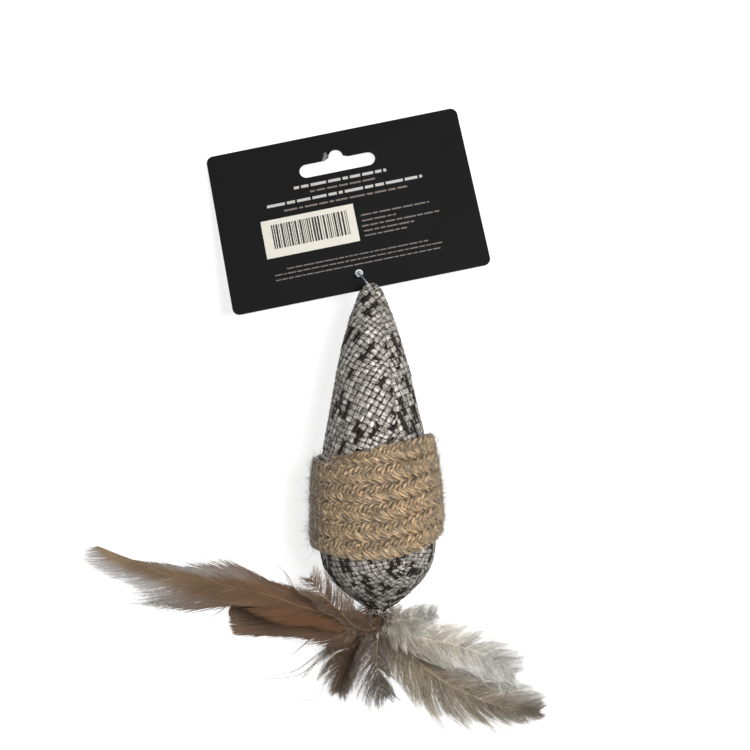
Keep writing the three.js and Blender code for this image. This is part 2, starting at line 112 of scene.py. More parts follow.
def stripFaces(strips, rows, columns):
    # The faces of many grids of one size that lie one after the other
    starts = np.arange(strips) * rows * columns
    return (gridFaces(rows, columns)[None] + starts[:, None, None]).reshape(-1, 4)


def joinMeshes(parts):
    # Several (points, faces, layers) as one
    points, faces, layers, start = [], [], {}, 0
    for part in parts:
        points.append(np.asarray(part[0]).reshape(-1, 3))
        faces.append(np.asarray(part[1]) + start)
        start += len(points[-1])
        for key, values in part[2].items():
            layers.setdefault(key, []).append(values)
    layers = {key: np.concatenate(values) for key, values in layers.items()}
    return np.vstack(points), np.vstack(faces), layers


def stacked(*values):
    # Sets of values, one for each axis, as one set of vectors
    return np.stack(np.broadcast_arrays(*values), axis=-1)


def unit(vectors):
    return vectors / np.maximum(np.linalg.norm(vectors, axis=-1, keepdims=True), 1e-12)


def smoothStep(t):
    t = np.clip(t, 0, 1)
    return t * t * (3 - 2 * t)


def lengthAlong(path):
    return np.concatenate([[0], np.cumsum(np.linalg.norm(np.diff(path, axis=0), axis=1))])


def pointsAt(path, length, places):
    # The points of a path at the given distances along it
    return np.stack([np.interp(places, length, path[:, k]) for k in range(3)], axis=-1)


def smoothPath(points, count, spanSteps=24):
    # A smooth curve through points, evenly stepped by length
    points = np.asarray(points, dtype=float)
    knots = np.vstack([2 * points[0] - points[1], points, 2 * points[-1] - points[-2]])
    steps = np.sqrt(np.linalg.norm(np.diff(knots, axis=0), axis=1))
    times = np.concatenate([[0], np.cumsum(np.maximum(steps, 1e-9))])
    dense = []
    for i in range(1, len(knots) - 2):
        t = np.linspace(times[i], times[i + 1], spanSteps, endpoint=i == len(knots) - 3)[:, None]
        t0, t1, t2, t3 = times[i - 1:i + 3]
        p0, p1, p2, p3 = knots[i - 1:i + 3]
        a1 = (t1 - t) / (t1 - t0) * p0 + (t - t0) / (t1 - t0) * p1
        a2 = (t2 - t) / (t2 - t1) * p1 + (t - t1) / (t2 - t1) * p2
        a3 = (t3 - t) / (t3 - t2) * p2 + (t - t2) / (t3 - t2) * p3
        b1 = (t2 - t) / (t2 - t0) * a1 + (t - t0) / (t2 - t0) * a2
        b2 = (t3 - t) / (t3 - t1) * a2 + (t - t1) / (t3 - t1) * a3
        dense.append((t2 - t) / (t2 - t1) * b1 + (t - t1) / (t2 - t1) * b2)
    dense = np.vstack(dense)
    length = lengthAlong(dense)
    return pointsAt(dense, length, np.linspace(0, length[-1], count))


def tubeRings(path, radius, sides):
    # Rings of points round a path, carried along it without twist; radius is one value or one for each point
    path = np.asarray(path, dtype=float)
    tangents = unit(np.gradient(path, axis=0))
    side = np.cross(tangents[0], [0, 0, 1])
    if np.linalg.norm(side) < 0.1:
        side = np.cross(tangents[0], [0, 1, 0])
    sidesAlong = []
    for tangent in tangents:
        side = side - tangent * side.dot(tangent)
        side = side / np.linalg.norm(side)
        sidesAlong.append(side)
    across = np.array(sidesAlong)
    up = np.cross(tangents, across)
    angle = np.linspace(0, 2 * math.pi, sides, endpoint=False)[None, :, None]
    radius = np.broadcast_to(radius, len(path))[:, None, None]
    return path[:, None] + radius * (np.cos(angle) * across[:, None] + np.sin(angle) * up[:, None])


def cappedRings(rings):
    # Points and triangles of rings joined into one body, with a fan of triangles over each end
    count, sides = rings.shape[:2]
    points = np.vstack([rings.reshape(-1, 3), rings[0].mean(axis=0), rings[-1].mean(axis=0)])
    walls = gridFaces(count, sides, closed=True)[:, [[0, 1, 2], [0, 2, 3]]].reshape(-1, 3)
    here = np.arange(sides)
    after, last, end = (here + 1) % sides, (count - 1) * sides, np.full(sides, count * sides)
    fans = np.stack([end, after, here, end + 1, last + here, last + after], axis=-1).reshape(-1, 3)
    return points, np.vstack([walls, fans])


def tubeMesh(path, radius, sides):
    # Points, triangles and grain of a round tube with closed ends
    points, faces = cappedRings(tubeRings(path, radius, sides))
    around = np.linspace(0, 1, sides)[None] * radius * 6  # about the way round the tube
    grain = stacked(lengthAlong(path)[:, None], around, 0.5)
    return points, faces, np.vstack([grain.reshape(-1, 3), grain[0, :1], grain[-1, :1]])


def walked(starts, steps):
    # Lines of points, which begin at their starts and take every step but the first
    moves = np.concatenate([np.zeros_like(steps[:, :1]), steps[:, 1:]], axis=1)
    return starts[:, None] + np.cumsum(moves, axis=1)


def flatStrips(lines, side, width):
    # Flat strips along lines, as a point on each side of every point of theirs
    half = width[..., None] / 2
    return np.stack([lines - side * half, lines + side * half], axis=2)


hair = {"thinning": 0.75, "grainReach": 0.05 * mm}


def hairStrips(random, starts, directions, lengths, curl, width, segments):
    # Curved flat hairs: starts and first directions, a random bend for each, thinner towards their ends
    count = len(starts)
    t = np.linspace(0, 1, segments + 1)
    along = t[None, :, None]
    bend = random.normal(0, 1, (count, 1, 3)) * curl
    twist = random.normal(0, 1, (count, 1, 3)) * curl
    steps = unit(directions[:, None] + bend * along + twist * along ** 2)
    steps = steps * (lengths / segments)[:, None, None]
    side = unit(np.cross(steps, random.normal(0, 1, (count, 1, 3))))
    points = flatStrips(walked(starts, steps), side, width[:, None] * (1 - hair["thinning"] * t[None]))
    length = (t[None] * lengths[:, None])[..., None]
    grain = stacked(length, np.array([-1, 1]) * hair["grainReach"], random.uniform(0, 1, (count, 1, 1)))
    return points, stripFaces(count, segments + 1, 2), grain


# Materials


def colourBytes(red, green, blue):
    # A colour read off as 0 to 255, as the linear one that a shader takes
    def linear(value):
        value /= 255
        return value / 12.92 if value <= 0.04045 else ((value + 0.055) / 1.055) ** 2.4
    return (linear(red), linear(green), linear(blue), 1.0)


def link(tree, value, socket):
    if isinstance(value, bpy.types.NodeSocket):
        tree.links.new(value, socket)
    else:
        socket.default_value = value


def addNode(tree, kind, inputs=None, **settings):
    node = tree.nodes.new(kind)
    for key, value in settings.items():
        setattr(node, key, value)
    for key, value in (inputs or {}).items():
        link(tree, value, node.inputs[key])
    return node


def math2(tree, operation, first, second=0.0, third=0.0):
    return addNode(tree, "ShaderNodeMath", {0: first, 1: second, 2: third}, operation=operation).outputs[0]


def mixColour(tree, factor, first, second, blend="MIX"):
    inputs = {"Factor": factor, 6: first, 7: second}
    return addNode(tree, "ShaderNodeMix", inputs, data_type="RGBA", blend_type=blend).outputs[2]


def shaded(tree, colour, level):
    # A colour made brighter or darker by a level
    grey = addNode(tree, "ShaderNodeCombineColor", {0: level, 1: level, 2: level}).outputs[0]
    return mixColour(tree, 1.0, colour, grey, "MULTIPLY")


def attribute(tree, name, output="Fac"):
    return addNode(tree, "ShaderNodeAttribute", attribute_name=name).outputs[output]


def noise(tree, place, scale, detail):
    inputs = {"Vector": place, "Scale": scale, "Detail": detail}
    return addNode(tree, "ShaderNodeTexNoise", inputs).outputs["Fac"]


def newGroup(name, inputs, outputs):
    group = bpy.data.node_groups.new(name, "ShaderNodeTree")
    kinds = {"value": "NodeSocketFloat", "colour": "NodeSocketColor"}
    for socketName, kind, default in inputs:
        socket = group.interface.new_socket(socketName, in_out="INPUT", socket_type=kinds[kind])
        socket.default_value = default
    for socketName, kind in outputs:
        group.interface.new_socket(socketName, in_out="OUTPUT", socket_type=kinds[kind])
    inside = group.nodes.new("NodeGroupInput")
    outside = group.nodes.new("NodeGroupOutput")
    return group, inside.outputs, outside.inputs


streakField = {"seedSpread": 57.0, "contrast": 2.6, "slowAlong": 0.22, "slowAcross": 0.15}


def grainGroup():
    # Fine streaks that run along each strip or strand, from its own grain coordinates
    group, given, result = newGroup(
        "grainStreaks",
        [("Along", "value", 300.0), ("Across", "value", 4000.0), ("Contrast", "value", 1.0)],
        [("Mask", "value"), ("Broad", "value")],
    )
    grain = addNode(group, "ShaderNodeSeparateXYZ", {0: attribute(group, "grain", "Vector")})
    along = math2(group, "MULTIPLY", grain.outputs[0], given["Along"])
    across = math2(group, "MULTIPLY", grain.outputs[1], given["Across"])
    seed = math2(group, "MULTIPLY", grain.outputs[2], streakField["seedSpread"])  # keeps neighbours apart
    place = addNode(group, "ShaderNodeCombineXYZ", {0: along, 1: across, 2: seed}).outputs[0]
    centred = math2(group, "SUBTRACT", noise(group, place, 1.0, 3.0), 0.5)
    contrast = math2(group, "MULTIPLY", given["Contrast"], streakField["contrast"])
    spread = math2(group, "MULTIPLY_ADD", centred, contrast, 0.5)
    link(group, addNode(group, "ShaderNodeClamp", {0: spread}).outputs[0], result["Mask"])
    slowAlong = math2(group, "MULTIPLY", along, streakField["slowAlong"])  # for the broad mask
    slowAcross = math2(group, "MULTIPLY", across, streakField["slowAcross"])
    slow = addNode(group, "ShaderNodeCombineXYZ", {0: slowAlong, 1: slowAcross, 2: seed}).outputs[0]
    link(group, noise(group, slow, 1.0, 2.0), result["Broad"])
    return group


def patchGroup():
    # Slow changes of tone over a surface, such as dust, wear and uneven dye
    group, given, result = newGroup(
        "unevenTone",
        [("Colour", "colour", (0.5, 0.5, 0.5, 1)), ("Size", "value", 60.0), ("Amount", "value", 0.3)],
        [("Colour", "colour"), ("Mask", "value")],
    )
    place = addNode(group, "ShaderNodeTexCoord").outputs["Object"]
    patches = noise(group, place, given["Size"], 4.0)
    level = math2(group, "MULTIPLY_ADD", math2(group, "SUBTRACT", patches, 0.5), given["Amount"], 1.0)
    link(group, shaded(group, given["Colour"], level), result["Colour"])
    link(group, patches, result["Mask"])
    return group


grainStreaks = grainGroup()
unevenTone = patchGroup()


def emptyTree(owner):
    # The node tree of a material or world, cleared for its own nodes
    owner.use_nodes = True
    owner.node_tree.nodes.clear()
    return owner.node_tree


def newMaterial(name, sockets):
    look = bpy.data.materials.new(name)
    tree = emptyTree(look)
    shader = addNode(tree, "ShaderNodeBsdfPrincipled", sockets)
    addNode(tree, "ShaderNodeOutputMaterial", {"Surface": shader.outputs[0]})
    return look, tree, shader


def grouped(tree, group, inputs):
    return addNode(tree, "ShaderNodeGroup", inputs, node_tree=group).outputs


def painted(tree, shader, colour, size, amount):
    # Gives the shader its colour, with slow changes of tone, and returns their mask
    tone = grouped(tree, unevenTone, {"Colour": colour, "Size": size, "Amount": amount})
    link(tree, tone["Colour"], shader.inputs["Base Color"])
    return tone["Mask"]


def bumped(tree, shader, height, strength, distance):
    bump = addNode(tree, "ShaderNodeBump", {"Height": height, "Strength": strength, "Distance": distance})
    link(tree, bump.outputs[0], shader.inputs["Normal"])


ribbonLook = {
    "metallic": 0.3,
    "gloss": 0.12,
    "silver": ((64, 59, 54), (230, 223, 214)),
    "black": ((12, 10, 9), (46, 38, 32)),
    # The gap colour and its share give the painted shade at the ribbons' edges and dives
    "gap": (20, 17, 15),
    "gapShare": 0.95,
    "leastShade": 0.58,
    "shadeRange": 0.55,
    "leastRoughness": 0.3,
    "roughnessRange": 0.3,
    "grain": {"Along": 420.0, "Across": 3200.0, "Contrast": 1.2},
    "wear": {"Size": 260.0, "Amount": 0.5},
    "bump": (0.5, 0.12 * mm),
}


def ribbonMaterial():
    # Flat metallic ribbon, creased lengthwise, silver cream or near black, with painted shade in the weave's
    # gaps
    sockets = {"Metallic": ribbonLook["metallic"], "Specular IOR Level": ribbonLook["gloss"]}
    look, tree, shader = newMaterial("wovenRibbon", sockets)
    streaks = grouped(tree, grainStreaks, ribbonLook["grain"])
    silver, black = (
        mixColour(tree, streaks["Mask"], *(colourBytes(*colour) for colour in ribbonLook[key]))
        for key in ("silver", "black"))
    shade = attribute(tree, "shade")
    level = math2(tree, "MULTIPLY_ADD", shade, ribbonLook["shadeRange"], ribbonLook["leastShade"])
    colour = mixColour(tree, attribute(tree, "tone"), shaded(tree, silver, level), black)
    worn = grouped(tree, unevenTone, {"Colour": colour, **ribbonLook["wear"]})["Colour"]
    # Painted shade: the gap layer darkens the ribbon towards the gap colour
    gap = math2(tree, "MULTIPLY", attribute(tree, "gap"), ribbonLook["gapShare"])
    link(tree, mixColour(tree, gap, worn, colourBytes(*ribbonLook["gap"])), shader.inputs["Base Color"])
    roughness = math2(
        tree, "MULTIPLY_ADD", streaks["Broad"], ribbonLook["roughnessRange"], ribbonLook["leastRoughness"])
    link(tree, roughness, shader.inputs["Roughness"])
    bumped(tree, shader, streaks["Mask"], *ribbonLook["bump"])
    return look


gapShadeLook = {
    "roughness": 0.9,
    "threads": 1400.0,
    "dark": (24, 21, 20),
    "light": (48, 43, 40),
    "tone": (300.0, 0.8),
    "bump": (0.4, 0.1 * mm),
}


def gapShadeMaterial():
    # Dark checked cloth that stands in for the shade in the weave's gaps
    look, tree, shader = newMaterial("darkLining", {"Roughness": gapShadeLook["roughness"]})
    place = addNode(tree, "ShaderNodeTexCoord").outputs["Object"]
    checks = {"Vector": place, "Scale": gapShadeLook["threads"]}
    threads = addNode(tree, "ShaderNodeTexChecker", checks).outputs["Fac"]
    colour = mixColour(tree, threads, colourBytes(*gapShadeLook["dark"]), colourBytes(*gapShadeLook["light"]))
    painted(tree, shader, colour, *gapShadeLook["tone"])
    bumped(tree, shader, threads, *gapShadeLook["bump"])
    return look


fillingLook = {"roughness": 0.95, "colour": (232, 228, 220), "tone": (500.0, 0.25), "bump": (0.8, 1 * mm)}


def fillingMaterial():
    look, tree, shader = newMaterial("fibreFilling", {"Roughness": fillingLook["roughness"]})
    lumps = painted(tree, shader, colourBytes(*fillingLook["colour"]), *fillingLook["tone"])
    bumped(tree, shader, lumps, *fillingLook["bump"])
    return look


nylonLook = {
    "shader": {"IOR": 1.5, "Transmission Weight": 0.8},
    "colour": (236, 238, 240),
    "tone": (900.0, 0.2),
    "roughnessRange": 0.3,
    "leastRoughness": 0.05,
}


def nylonMaterial():
    look, tree, shader = newMaterial("clearNylon", nylonLook["shader"])
    haze = painted(tree, shader, colourBytes(*nylonLook["colour"]), *nylonLook["tone"])
    roughness = math2(tree, "MULTIPLY_ADD", haze, nylonLook["roughnessRange"], nylonLook["leastRoughness"])
    link(tree, roughness, shader.inputs["Roughness"])
    return look


# How strongly the crest layer's painted light and shade change a strand's colour
strandShade = {
    "crestPower": 2.8,
    "crestShare": 0.86,
    "shadeShare": 0.5,
    "tone": (110.0, 0.7),
    "depth": 0.2 * mm,
}
strandLooks = {
    "thread": {"name": "greyThread", "dark": (92, 86, 78), "light": (176, 168, 156), "along": 900.0,
               "across": 5000.0, "contrast": 0.9, "roughness": 0.75, "gloss": 0.5, "bump": 0.5},
    "jute": {"name": "juteYarn", "dark": (27, 20, 12), "light": (236, 199, 150), "along": 260.0,
             "across": 4200.0, "contrast": 2.0, "roughness": 0.3, "gloss": 1.0, "bump": 0.9},
    "juteHair": {"name": "juteFibre", "dark": (92, 75, 55), "light": (204, 177, 138), "along": 200.0,
                 "across": 3000.0, "contrast": 0.6, "roughness": 0.4, "gloss": 0.9, "bump": 0.2},
}


def strandMaterial(name, dark, light, along, across, contrast, roughness, gloss, bump):
    # A fibrous strand: streaks of two colours along its grain; painted light makes it brighter where it
    # stands proud
    look, tree, shader = newMaterial(name, {"Roughness": roughness, "Specular IOR Level": gloss})
    streaks = grouped(tree, grainStreaks, {"Along": along, "Across": across, "Contrast": contrast})
    colour = mixColour(tree, streaks["Mask"], colourBytes(*dark), colourBytes(*light))
    crest = math2(tree, "POWER", attribute(tree, "crest"), strandShade["crestPower"])
    crest = math2(tree, "MULTIPLY", crest, strandShade["crestShare"])
    level = math2(tree, "MULTIPLY_ADD", attribute(tree, "shade"), strandShade["shadeShare"], crest)
    painted(tree, shader, shaded(tree, colour, level), *strandShade["tone"])
    bumped(tree, shader, streaks["Mask"], bump, strandShade["depth"])
    return look


featherLooks = {
    "brown": {"name": "brownVane", "root": (96, 65, 41), "tip": (150, 129, 102), "edge": (190, 187, 186),
              "roughness": 0.5, "contrast": 0.4},
    "shortBrown": {"name": "shortBrownVane", "root": (120, 90, 64), "tip": (98, 80, 64), "edge": (96, 86, 78),
                   "roughness": 0.5, "contrast": 0.4},
    "russet": {"name": "brownDown", "root": (106, 80, 58), "tip": (98, 82, 66), "edge": (150, 136, 122)},
    "tuft": {"name": "paleBrownDown", "root": (88, 62, 42), "tip": (112, 90, 70), "edge": (168, 154, 140)},
    "grey": {"name": "greyDown", "root": (112, 98, 83), "tip": (116, 108, 100), "edge": (150, 144, 138)},
    "white": {"name": "whiteDown", "root": (196, 187, 166), "tip": (218, 216, 211), "edge": (242, 240, 237)},
    "cream": {"name": "creamDown", "root": (168, 154, 129), "tip": (134, 124, 108), "edge": (208, 205, 200)},
    "quill": {"name": "creamQuill", "root": (214, 196, 154), "tip": (140, 122, 96), "edge": (200, 180, 140),
              "roughness": 0.4},
    "brownQuill": {"name": "brownQuill", "root": (126, 100, 70), "tip": (150, 128, 96),
                   "edge": (140, 116, 84), "roughness": 0.4},
}


featherShade = {
    "gloss": 0.3,
    "grain": {"Along": 130.0, "Across": 2500.0, "Contrast": 0.9},
    "tipPower": 1.6,
    "edgeShare": 0.9,
    "middleLevel": 0.97,
    "fineRange": 0.3,
    "fineLeast": 0.85,
    "tone": (90.0, 0.5),
}


def featherMaterial(name, root, tip, edge, roughness=0.6, contrast=0.9):
    # Barbs change colour from the feather's root to its tip and towards their own ends
    sockets = {"Roughness": roughness, "Specular IOR Level": featherShade["gloss"]}
    look, tree, shader = newMaterial(name, sockets)
    streaks = grouped(tree, grainStreaks, featherShade["grain"])
    towardsTip = math2(tree, "POWER", attribute(tree, "reach"), featherShade["tipPower"])
    colour = mixColour(tree, towardsTip, colourBytes(*root), colourBytes(*tip))
    outer = math2(tree, "MULTIPLY", attribute(tree, "outer"), featherShade["edgeShare"])
    colour = mixColour(tree, outer, colour, colourBytes(*edge))
    least = featherShade["middleLevel"] - contrast / 2
    shade = math2(tree, "MULTIPLY_ADD", attribute(tree, "shade"), contrast, least)
    fine = math2(tree, "MULTIPLY_ADD", streaks["Mask"], featherShade["fineRange"], featherShade["fineLeast"])
    painted(tree, shader, shaded(tree, colour, math2(tree, "MULTIPLY", shade, fine)), *featherShade["tone"])
    return look


paperLooks = {
    "card": {"name": "blackCard", "colour": (22, 22, 23), "roughness": 0.62, "size": 45.0, "amount": 0.35,
             "bump": 0.25, "gloss": 0.07},
    "cardCore": {"name": "cardCore", "colour": (186, 182, 174), "roughness": 0.85, "size": 700.0,
                 "amount": 0.5, "bump": 0.5},
    "torn": {"name": "tornPaper", "colour": (120, 120, 120), "roughness": 0.9, "size": 900.0, "amount": 1.2,
             "bump": 0.9},
    "label": {"name": "labelPaper", "colour": (226, 222, 210), "roughness": 0.6, "size": 120.0,
              "amount": 0.12, "bump": 0.2},
    "bars": {"name": "labelBars", "colour": (40, 38, 38), "roughness": 0.55, "size": 900.0, "amount": 0.5,
             "bump": 0.1},
    "print": {"name": "greyPrint", "colour": (196, 192, 188), "roughness": 0.6, "size": 1500.0,
              "amount": 0.7, "bump": 0.1},
    "faintPrint": {"name": "faintPrint", "colour": (122, 112, 106), "roughness": 0.6, "size": 1500.0,
                   "amount": 0.9, "bump": 0.1},
}


paperFibre = {"size": 2600.0, "depth": 0.08 * mm}


def paperMaterial(name, colour, roughness, size, amount, bump, gloss=0.3):
    look, tree, shader = newMaterial(name, {"Roughness": roughness, "Specular IOR Level": gloss})
    painted(tree, shader, colourBytes(*colour), size, amount)
    fibres = grouped(tree, unevenTone, {"Size": paperFibre["size"]})
    bumped(tree, shader, fibres["Mask"], bump, paperFibre["depth"])
    return look


looks = {
    "ribbon": ribbonMaterial(),
    "lining": gapShadeMaterial(),
    "filling": fillingMaterial(),
    "nylon": nylonMaterial(),
}
looks.update({key: strandMaterial(**values) for key, values in strandLooks.items()})
looks.update({key: featherMaterial(**values) for key, values in featherLooks.items()})
looks.update({key: paperMaterial(**values) for key, values in paperLooks.items()})
print("materials made")


# The stuffed body's outline

body = {
    "noseLength": 83.5 * mm,
    "tailLength": 47.6 * mm,
    "radius": 23.4 * mm,
    "tailShares": [(1.12, 0.2), (1.04, 0.176), (1.0, 0.18), (0.97, 0.215), (0.95, 0.28), (0.892, 0.435),
                   (0.811, 0.63), (0.714, 0.81), (0.614, 0.925), (0.504, 0.98), (0.322, 1.0), (0.133, 0.991)],
    "noseShares": [(0.092, 0.953), (0.245, 0.863), (0.361, 0.778), (0.475, 0.695), (0.595, 0.607),
                   (0.702, 0.508), (0.822, 0.385), (0.906, 0.268), (0.958, 0.19), (0.986, 0.118),
                   (0.998, 0.05), (1.0, 0.004)],
    "seamTurn": math.radians(30),
    "outlineSteps": 900,
    "slopeWindow": 25,
}


def bodyProfile():
    # Evenly stepped places along the outline, from the tail's neck to the nose
    tail = [(-along * body["tailLength"], out * body["radius"], 0) for along, out in body["tailShares"]]
    nose = [(along * body["noseLength"], out * body["radius"], 0) for along, out in body["noseShares"]]
    line = smoothPath(tail + nose, body["outlineSteps"])
    y, r = line[:, 0], line[:, 1]
    s = np.concatenate([[0], np.cumsum(np.hypot(np.diff(y), np.diff(r)))])
    window = body["slopeWindow"]
    slope = np.pad(-np.gradient(r, s), window // 2, mode="edge")
    slope = np.convolve(slope, np.ones(window) / window, mode="valid")
    return s, y, r, np.clip(slope, -1, 1)


outlineS, outlineY, outlineR, outlineSlope = bodyProfile()


def skinPoint(s, turn, lift):
    # A place on the skin, from its distance along the outline, its turn from the top and its height over it
    y = np.interp(s, outlineS, outlineY)
    r = np.interp(s, outlineS, outlineR)
    slope = np.interp(s, outlineS, outlineSlope)
    out = r + lift * np.sqrt(1 - slope ** 2)
    return toyPlace(out * np.sin(turn), y + lift * slope, out * np.cos(turn))


def skinDistance(y):
    return np.interp(y, outlineY, outlineS)


# The woven cover: two shaped panels of flat ribbon, each with its grain straight along its own middle

weave = {
    "pitch": 2.5 * mm,
    "ribbonShare": 0.91,
    "widthSpread": (0.92, 1.04),
    "ribbonPoints": (-1, -0.8, -0.4, 0.4, 0.8, 1),
    "stepsPerCell": 8,
    "wave": 0.22 * mm,
    "squareness": 2.8,
    "pinch": 0.1,
    "crown": 0.3 * mm,
    "crownPower": 5,
    "tileTilt": 0.12 * mm,
    "waver": 0.35 * mm,
    "waverRate": 190,
    "waverShift": 0.35,
    "seedStep": 0.37,
    "darkLift": 0.16 * mm,
    "darkNarrow": 0.26,
    "darkNoseShare": 0.15,
    "darkTailShare": 0.25,
    "darkWeftShare": 0.045,
    "warpDash": (1.2, 4.2),
    "weftDash": (0.8, 2.4),
    "firstDashWithin": 12,
    "gapStart": 0.72,
    "gapWidth": 0.26,
    "diveReach": 0.5,
    "edgeDive": 0.5 * mm,
    "edgeWidth": 1.2 * mm,
    "edgeLimit": 1.3,
    "slopeLimits": (-0.78, 0.34),
    "turnLimit": 3.5,
    "leastRadius": 0.5 * mm,
    "leastBend": 0.3,
    "fitRounds": 60,
}

clothSlope = np.clip(outlineSlope, *weave["slopeLimits"])


def clothPlace(u, v):
    # Where a point of the flat cloth lies: distance along the outline, and turn from its straight grain
    s = np.clip(v, outlineS[0], outlineS[-1])
    turn = np.zeros_like(u)
    for _ in range(weave["fitRounds"]):
        r = np.maximum(np.interp(s, outlineS, outlineR), weave["leastRadius"])
        slope = np.interp(s, outlineS, clothSlope)
        bend = np.maximum(np.sinc(turn * slope / math.pi), weave["leastBend"])
        turn = 0.5 * turn + 0.5 * np.clip(u / (r * bend), -weave["turnLimit"], weave["turnLimit"])
        rise = r * turn ** 2 * slope / 2 * np.sinc(turn * slope / 2 / math.pi) ** 2
        s = 0.5 * s + 0.5 * (v - rise)
    return s, turn


def darkRuns(random, strands, cells, share, shortest, longest):
    # Which cells of each ribbon are dark: short dashes with long pale stretches between them
    runs = np.zeros((strands, cells))
    for strand in range(strands):
        cell = int(random.integers(0, weave["firstDashWithin"]))
        while cell < cells:
            long = int(round(random.uniform(shortest, longest)))
            runs[strand, cell:cell + long] = 1
            cell += long + max(2, int(random.exponential(long * (1 - share) / share)))
    return runs


def ribbonSet(random, across, along, warp, darkShare):
    # All ribbons of one direction in one zone, as a grid of ribbons, steps along and points across
    pitch = weave["pitch"]
    steps = int((along[1] - along[0]) / pitch * weave["stepsPerCell"])
    number = np.arange(math.floor(across[0] / pitch), math.ceil(across[1] / pitch) + 1)
    length = np.linspace(along[0], along[1], steps)
    shares = np.array(weave["ribbonPoints"])
    cell = np.floor(length / pitch).astype(int)
    cell = cell - cell.min()
    inCell = length / pitch - np.floor(length / pitch) - 0.5
    table = (len(number), cell.max() + 1)
    tone = darkRuns(random, *table, darkShare, *weave["warpDash" if warp else "weftDash"])[:, cell]
    shade = random.uniform(0, 1, table)[:, cell]
    tilt = random.normal(0, 1, table)[:, cell]
    pitchTilt = random.normal(0, 1, table)[:, cell] * inCell
    beat = (1 if warp else -1) * np.sin(math.pi * (length[None] / pitch + number[:, None]))
    lift = weave["wave"] * np.tanh(weave["squareness"] * beat)
    if warp:
        lift = np.maximum(lift, tone * (weave["wave"] + weave["darkLift"]))
    width = pitch * weave["ribbonShare"] * random.uniform(*weave["widthSpread"], len(number))[:, None] / 2
    width = width * (1 - weave["darkNarrow"] * tone) * (1 - weave["pinch"] * (1 - np.abs(beat)))
    swing = length[None] * weave["waverRate"] + number[:, None] * weave["waverShift"]
    drift = weave["waver"] * np.sin(swing + random.uniform(0, 6))
    middle = (number[:, None] + 0.5) * pitch + drift
    place = middle[..., None] + width[..., None] * shares
    run = np.broadcast_to(length[None, :, None], place.shape)
    s, turn = clothPlace(*((place, run) if warp else (run, place)))
    relief = weave["tileTilt"] * (tilt[..., None] * shares + pitchTilt[..., None])
    lift = lift[..., None] - weave["crown"] * np.abs(shares) ** weave["crownPower"] + relief
    # Painted shade: each ribbon is marked darker towards its edges and where it dives under the crossing
    # ribbons
    diveShade = 1 - smoothStep(np.abs(beat) / weave["diveReach"])
    if warp:
        diveShade = np.where(tone > 0, 0, diveShade)
    gap = np.maximum(smoothStep((np.abs(shares) - weave["gapStart"]) / weave["gapWidth"]), diveShade[..., None])
    grain = stacked(run, place - middle[..., None], (number * weave["seedStep"])[:, None, None])
    layers = {"tone": tone[..., None], "shade": shade[..., None], "gap": gap}
    return s, turn, lift, grain, {key: np.broadcast_to(value, place.shape) for key, value in layers.items()}


panel = {
    "neckSpare": 1.6 * mm,
    "noseInset": 0.05 * mm,
    "sideSpare": 1.5 * mm,
    "lowSpare": 34 * mm,
    "highSpare": 26 * mm,
    "seamOverrun": 0.4 * mm,
    "fill": 0.9,
}


def wovenPanel(name, firstSeam, noseGrain, node, seed):
    # Half of the cover, from one seam to the other; its grain turns off the middle in the nose
    random = np.random.default_rng(seed)
    belly, last = skinDistance(0), outlineS[-1] - panel["noseInset"]
    start = skinDistance(-body["tailLength"] - panel["neckSpare"])
    noseZone = (noseGrain, belly, last, "darkNoseShare")
    tailZone = (math.pi / 2, start, belly + weave["pitch"], "darkTailShare")
    parts = []
    for middleTurn, low, high, dark in (noseZone, tailZone):
        reach = body["radius"] + panel["sideSpare"]
        across = (-middleTurn * reach, (math.pi - middleTurn) * reach)
        along = (low - panel["lowSpare"], high + panel["highSpare"])
        for warp in (True, False):
            ranges = (across, along) if warp else (along, across)
            darkShare = weave[dark if warp else "darkWeftShare"]
            s, turn, lift, grain, layers = ribbonSet(random, *ranges, warp, darkShare)
            turn = turn + middleTurn
            edge = np.minimum(turn, math.pi - turn) * np.interp(s, outlineS, outlineR)
            pastEdge = np.clip(1 - edge / weave["edgeWidth"], 0, weave["edgeLimit"])
            lift = lift - weave["edgeDive"] * pastEdge ** 2
            points = skinPoint(s, firstSeam + turn, lift).reshape(-1, 3)
            inside = ((edge > -panel["seamOverrun"]) & (s > low) & (s < high)).reshape(-1)
            faces = stripFaces(*s.shape)
            faces = faces[inside[faces].all(axis=1)]
            used, faces = np.unique(faces, return_inverse=True)
            kept = {key: value.reshape(-1)[used] for key, value in layers.items()}
            parts.append((points[used], faces.reshape(-1, 4), {"grain": grain.reshape(-1, 3)[used], **kept}))
    points, faces, layers = joinMeshes(parts)
    piece = makePiece(name, points, faces, looks["ribbon"], "toy", (node,), layers)
    print(name, len(faces))


lining = {"rows": 90, "columns": 41, "noseInset": 0.6 * mm, "seamGap": 0.01, "depth": 0.62 * mm}


def gapShadeShell(name, middleTurn, node):
    # A dark cloth shell close under the ribbons, as painted shade seen through the gaps of the weave
    rows, columns = lining["rows"], lining["columns"]
    half = math.pi / 2 - lining["seamGap"]
    s = np.linspace(skinDistance(-body["tailLength"]), outlineS[-1] - lining["noseInset"], rows)
    along, around = np.meshgrid(s, np.linspace(-half, half, columns), indexing="ij")
    points = skinPoint(along, middleTurn + around, -lining["depth"])
    makePiece(name, points, gridFaces(rows, columns), looks["lining"], "toy", (node,))


filling = {
    "rows": 60,
    "columns": 48,
    "tailPlace": -36 * mm,
    "noseInset": 4 * mm,
    "depth": 2.4 * mm,
    "lump": 0.25 * mm,
    "lumpRates": (900, 500),
    "fill": 0.9,
}


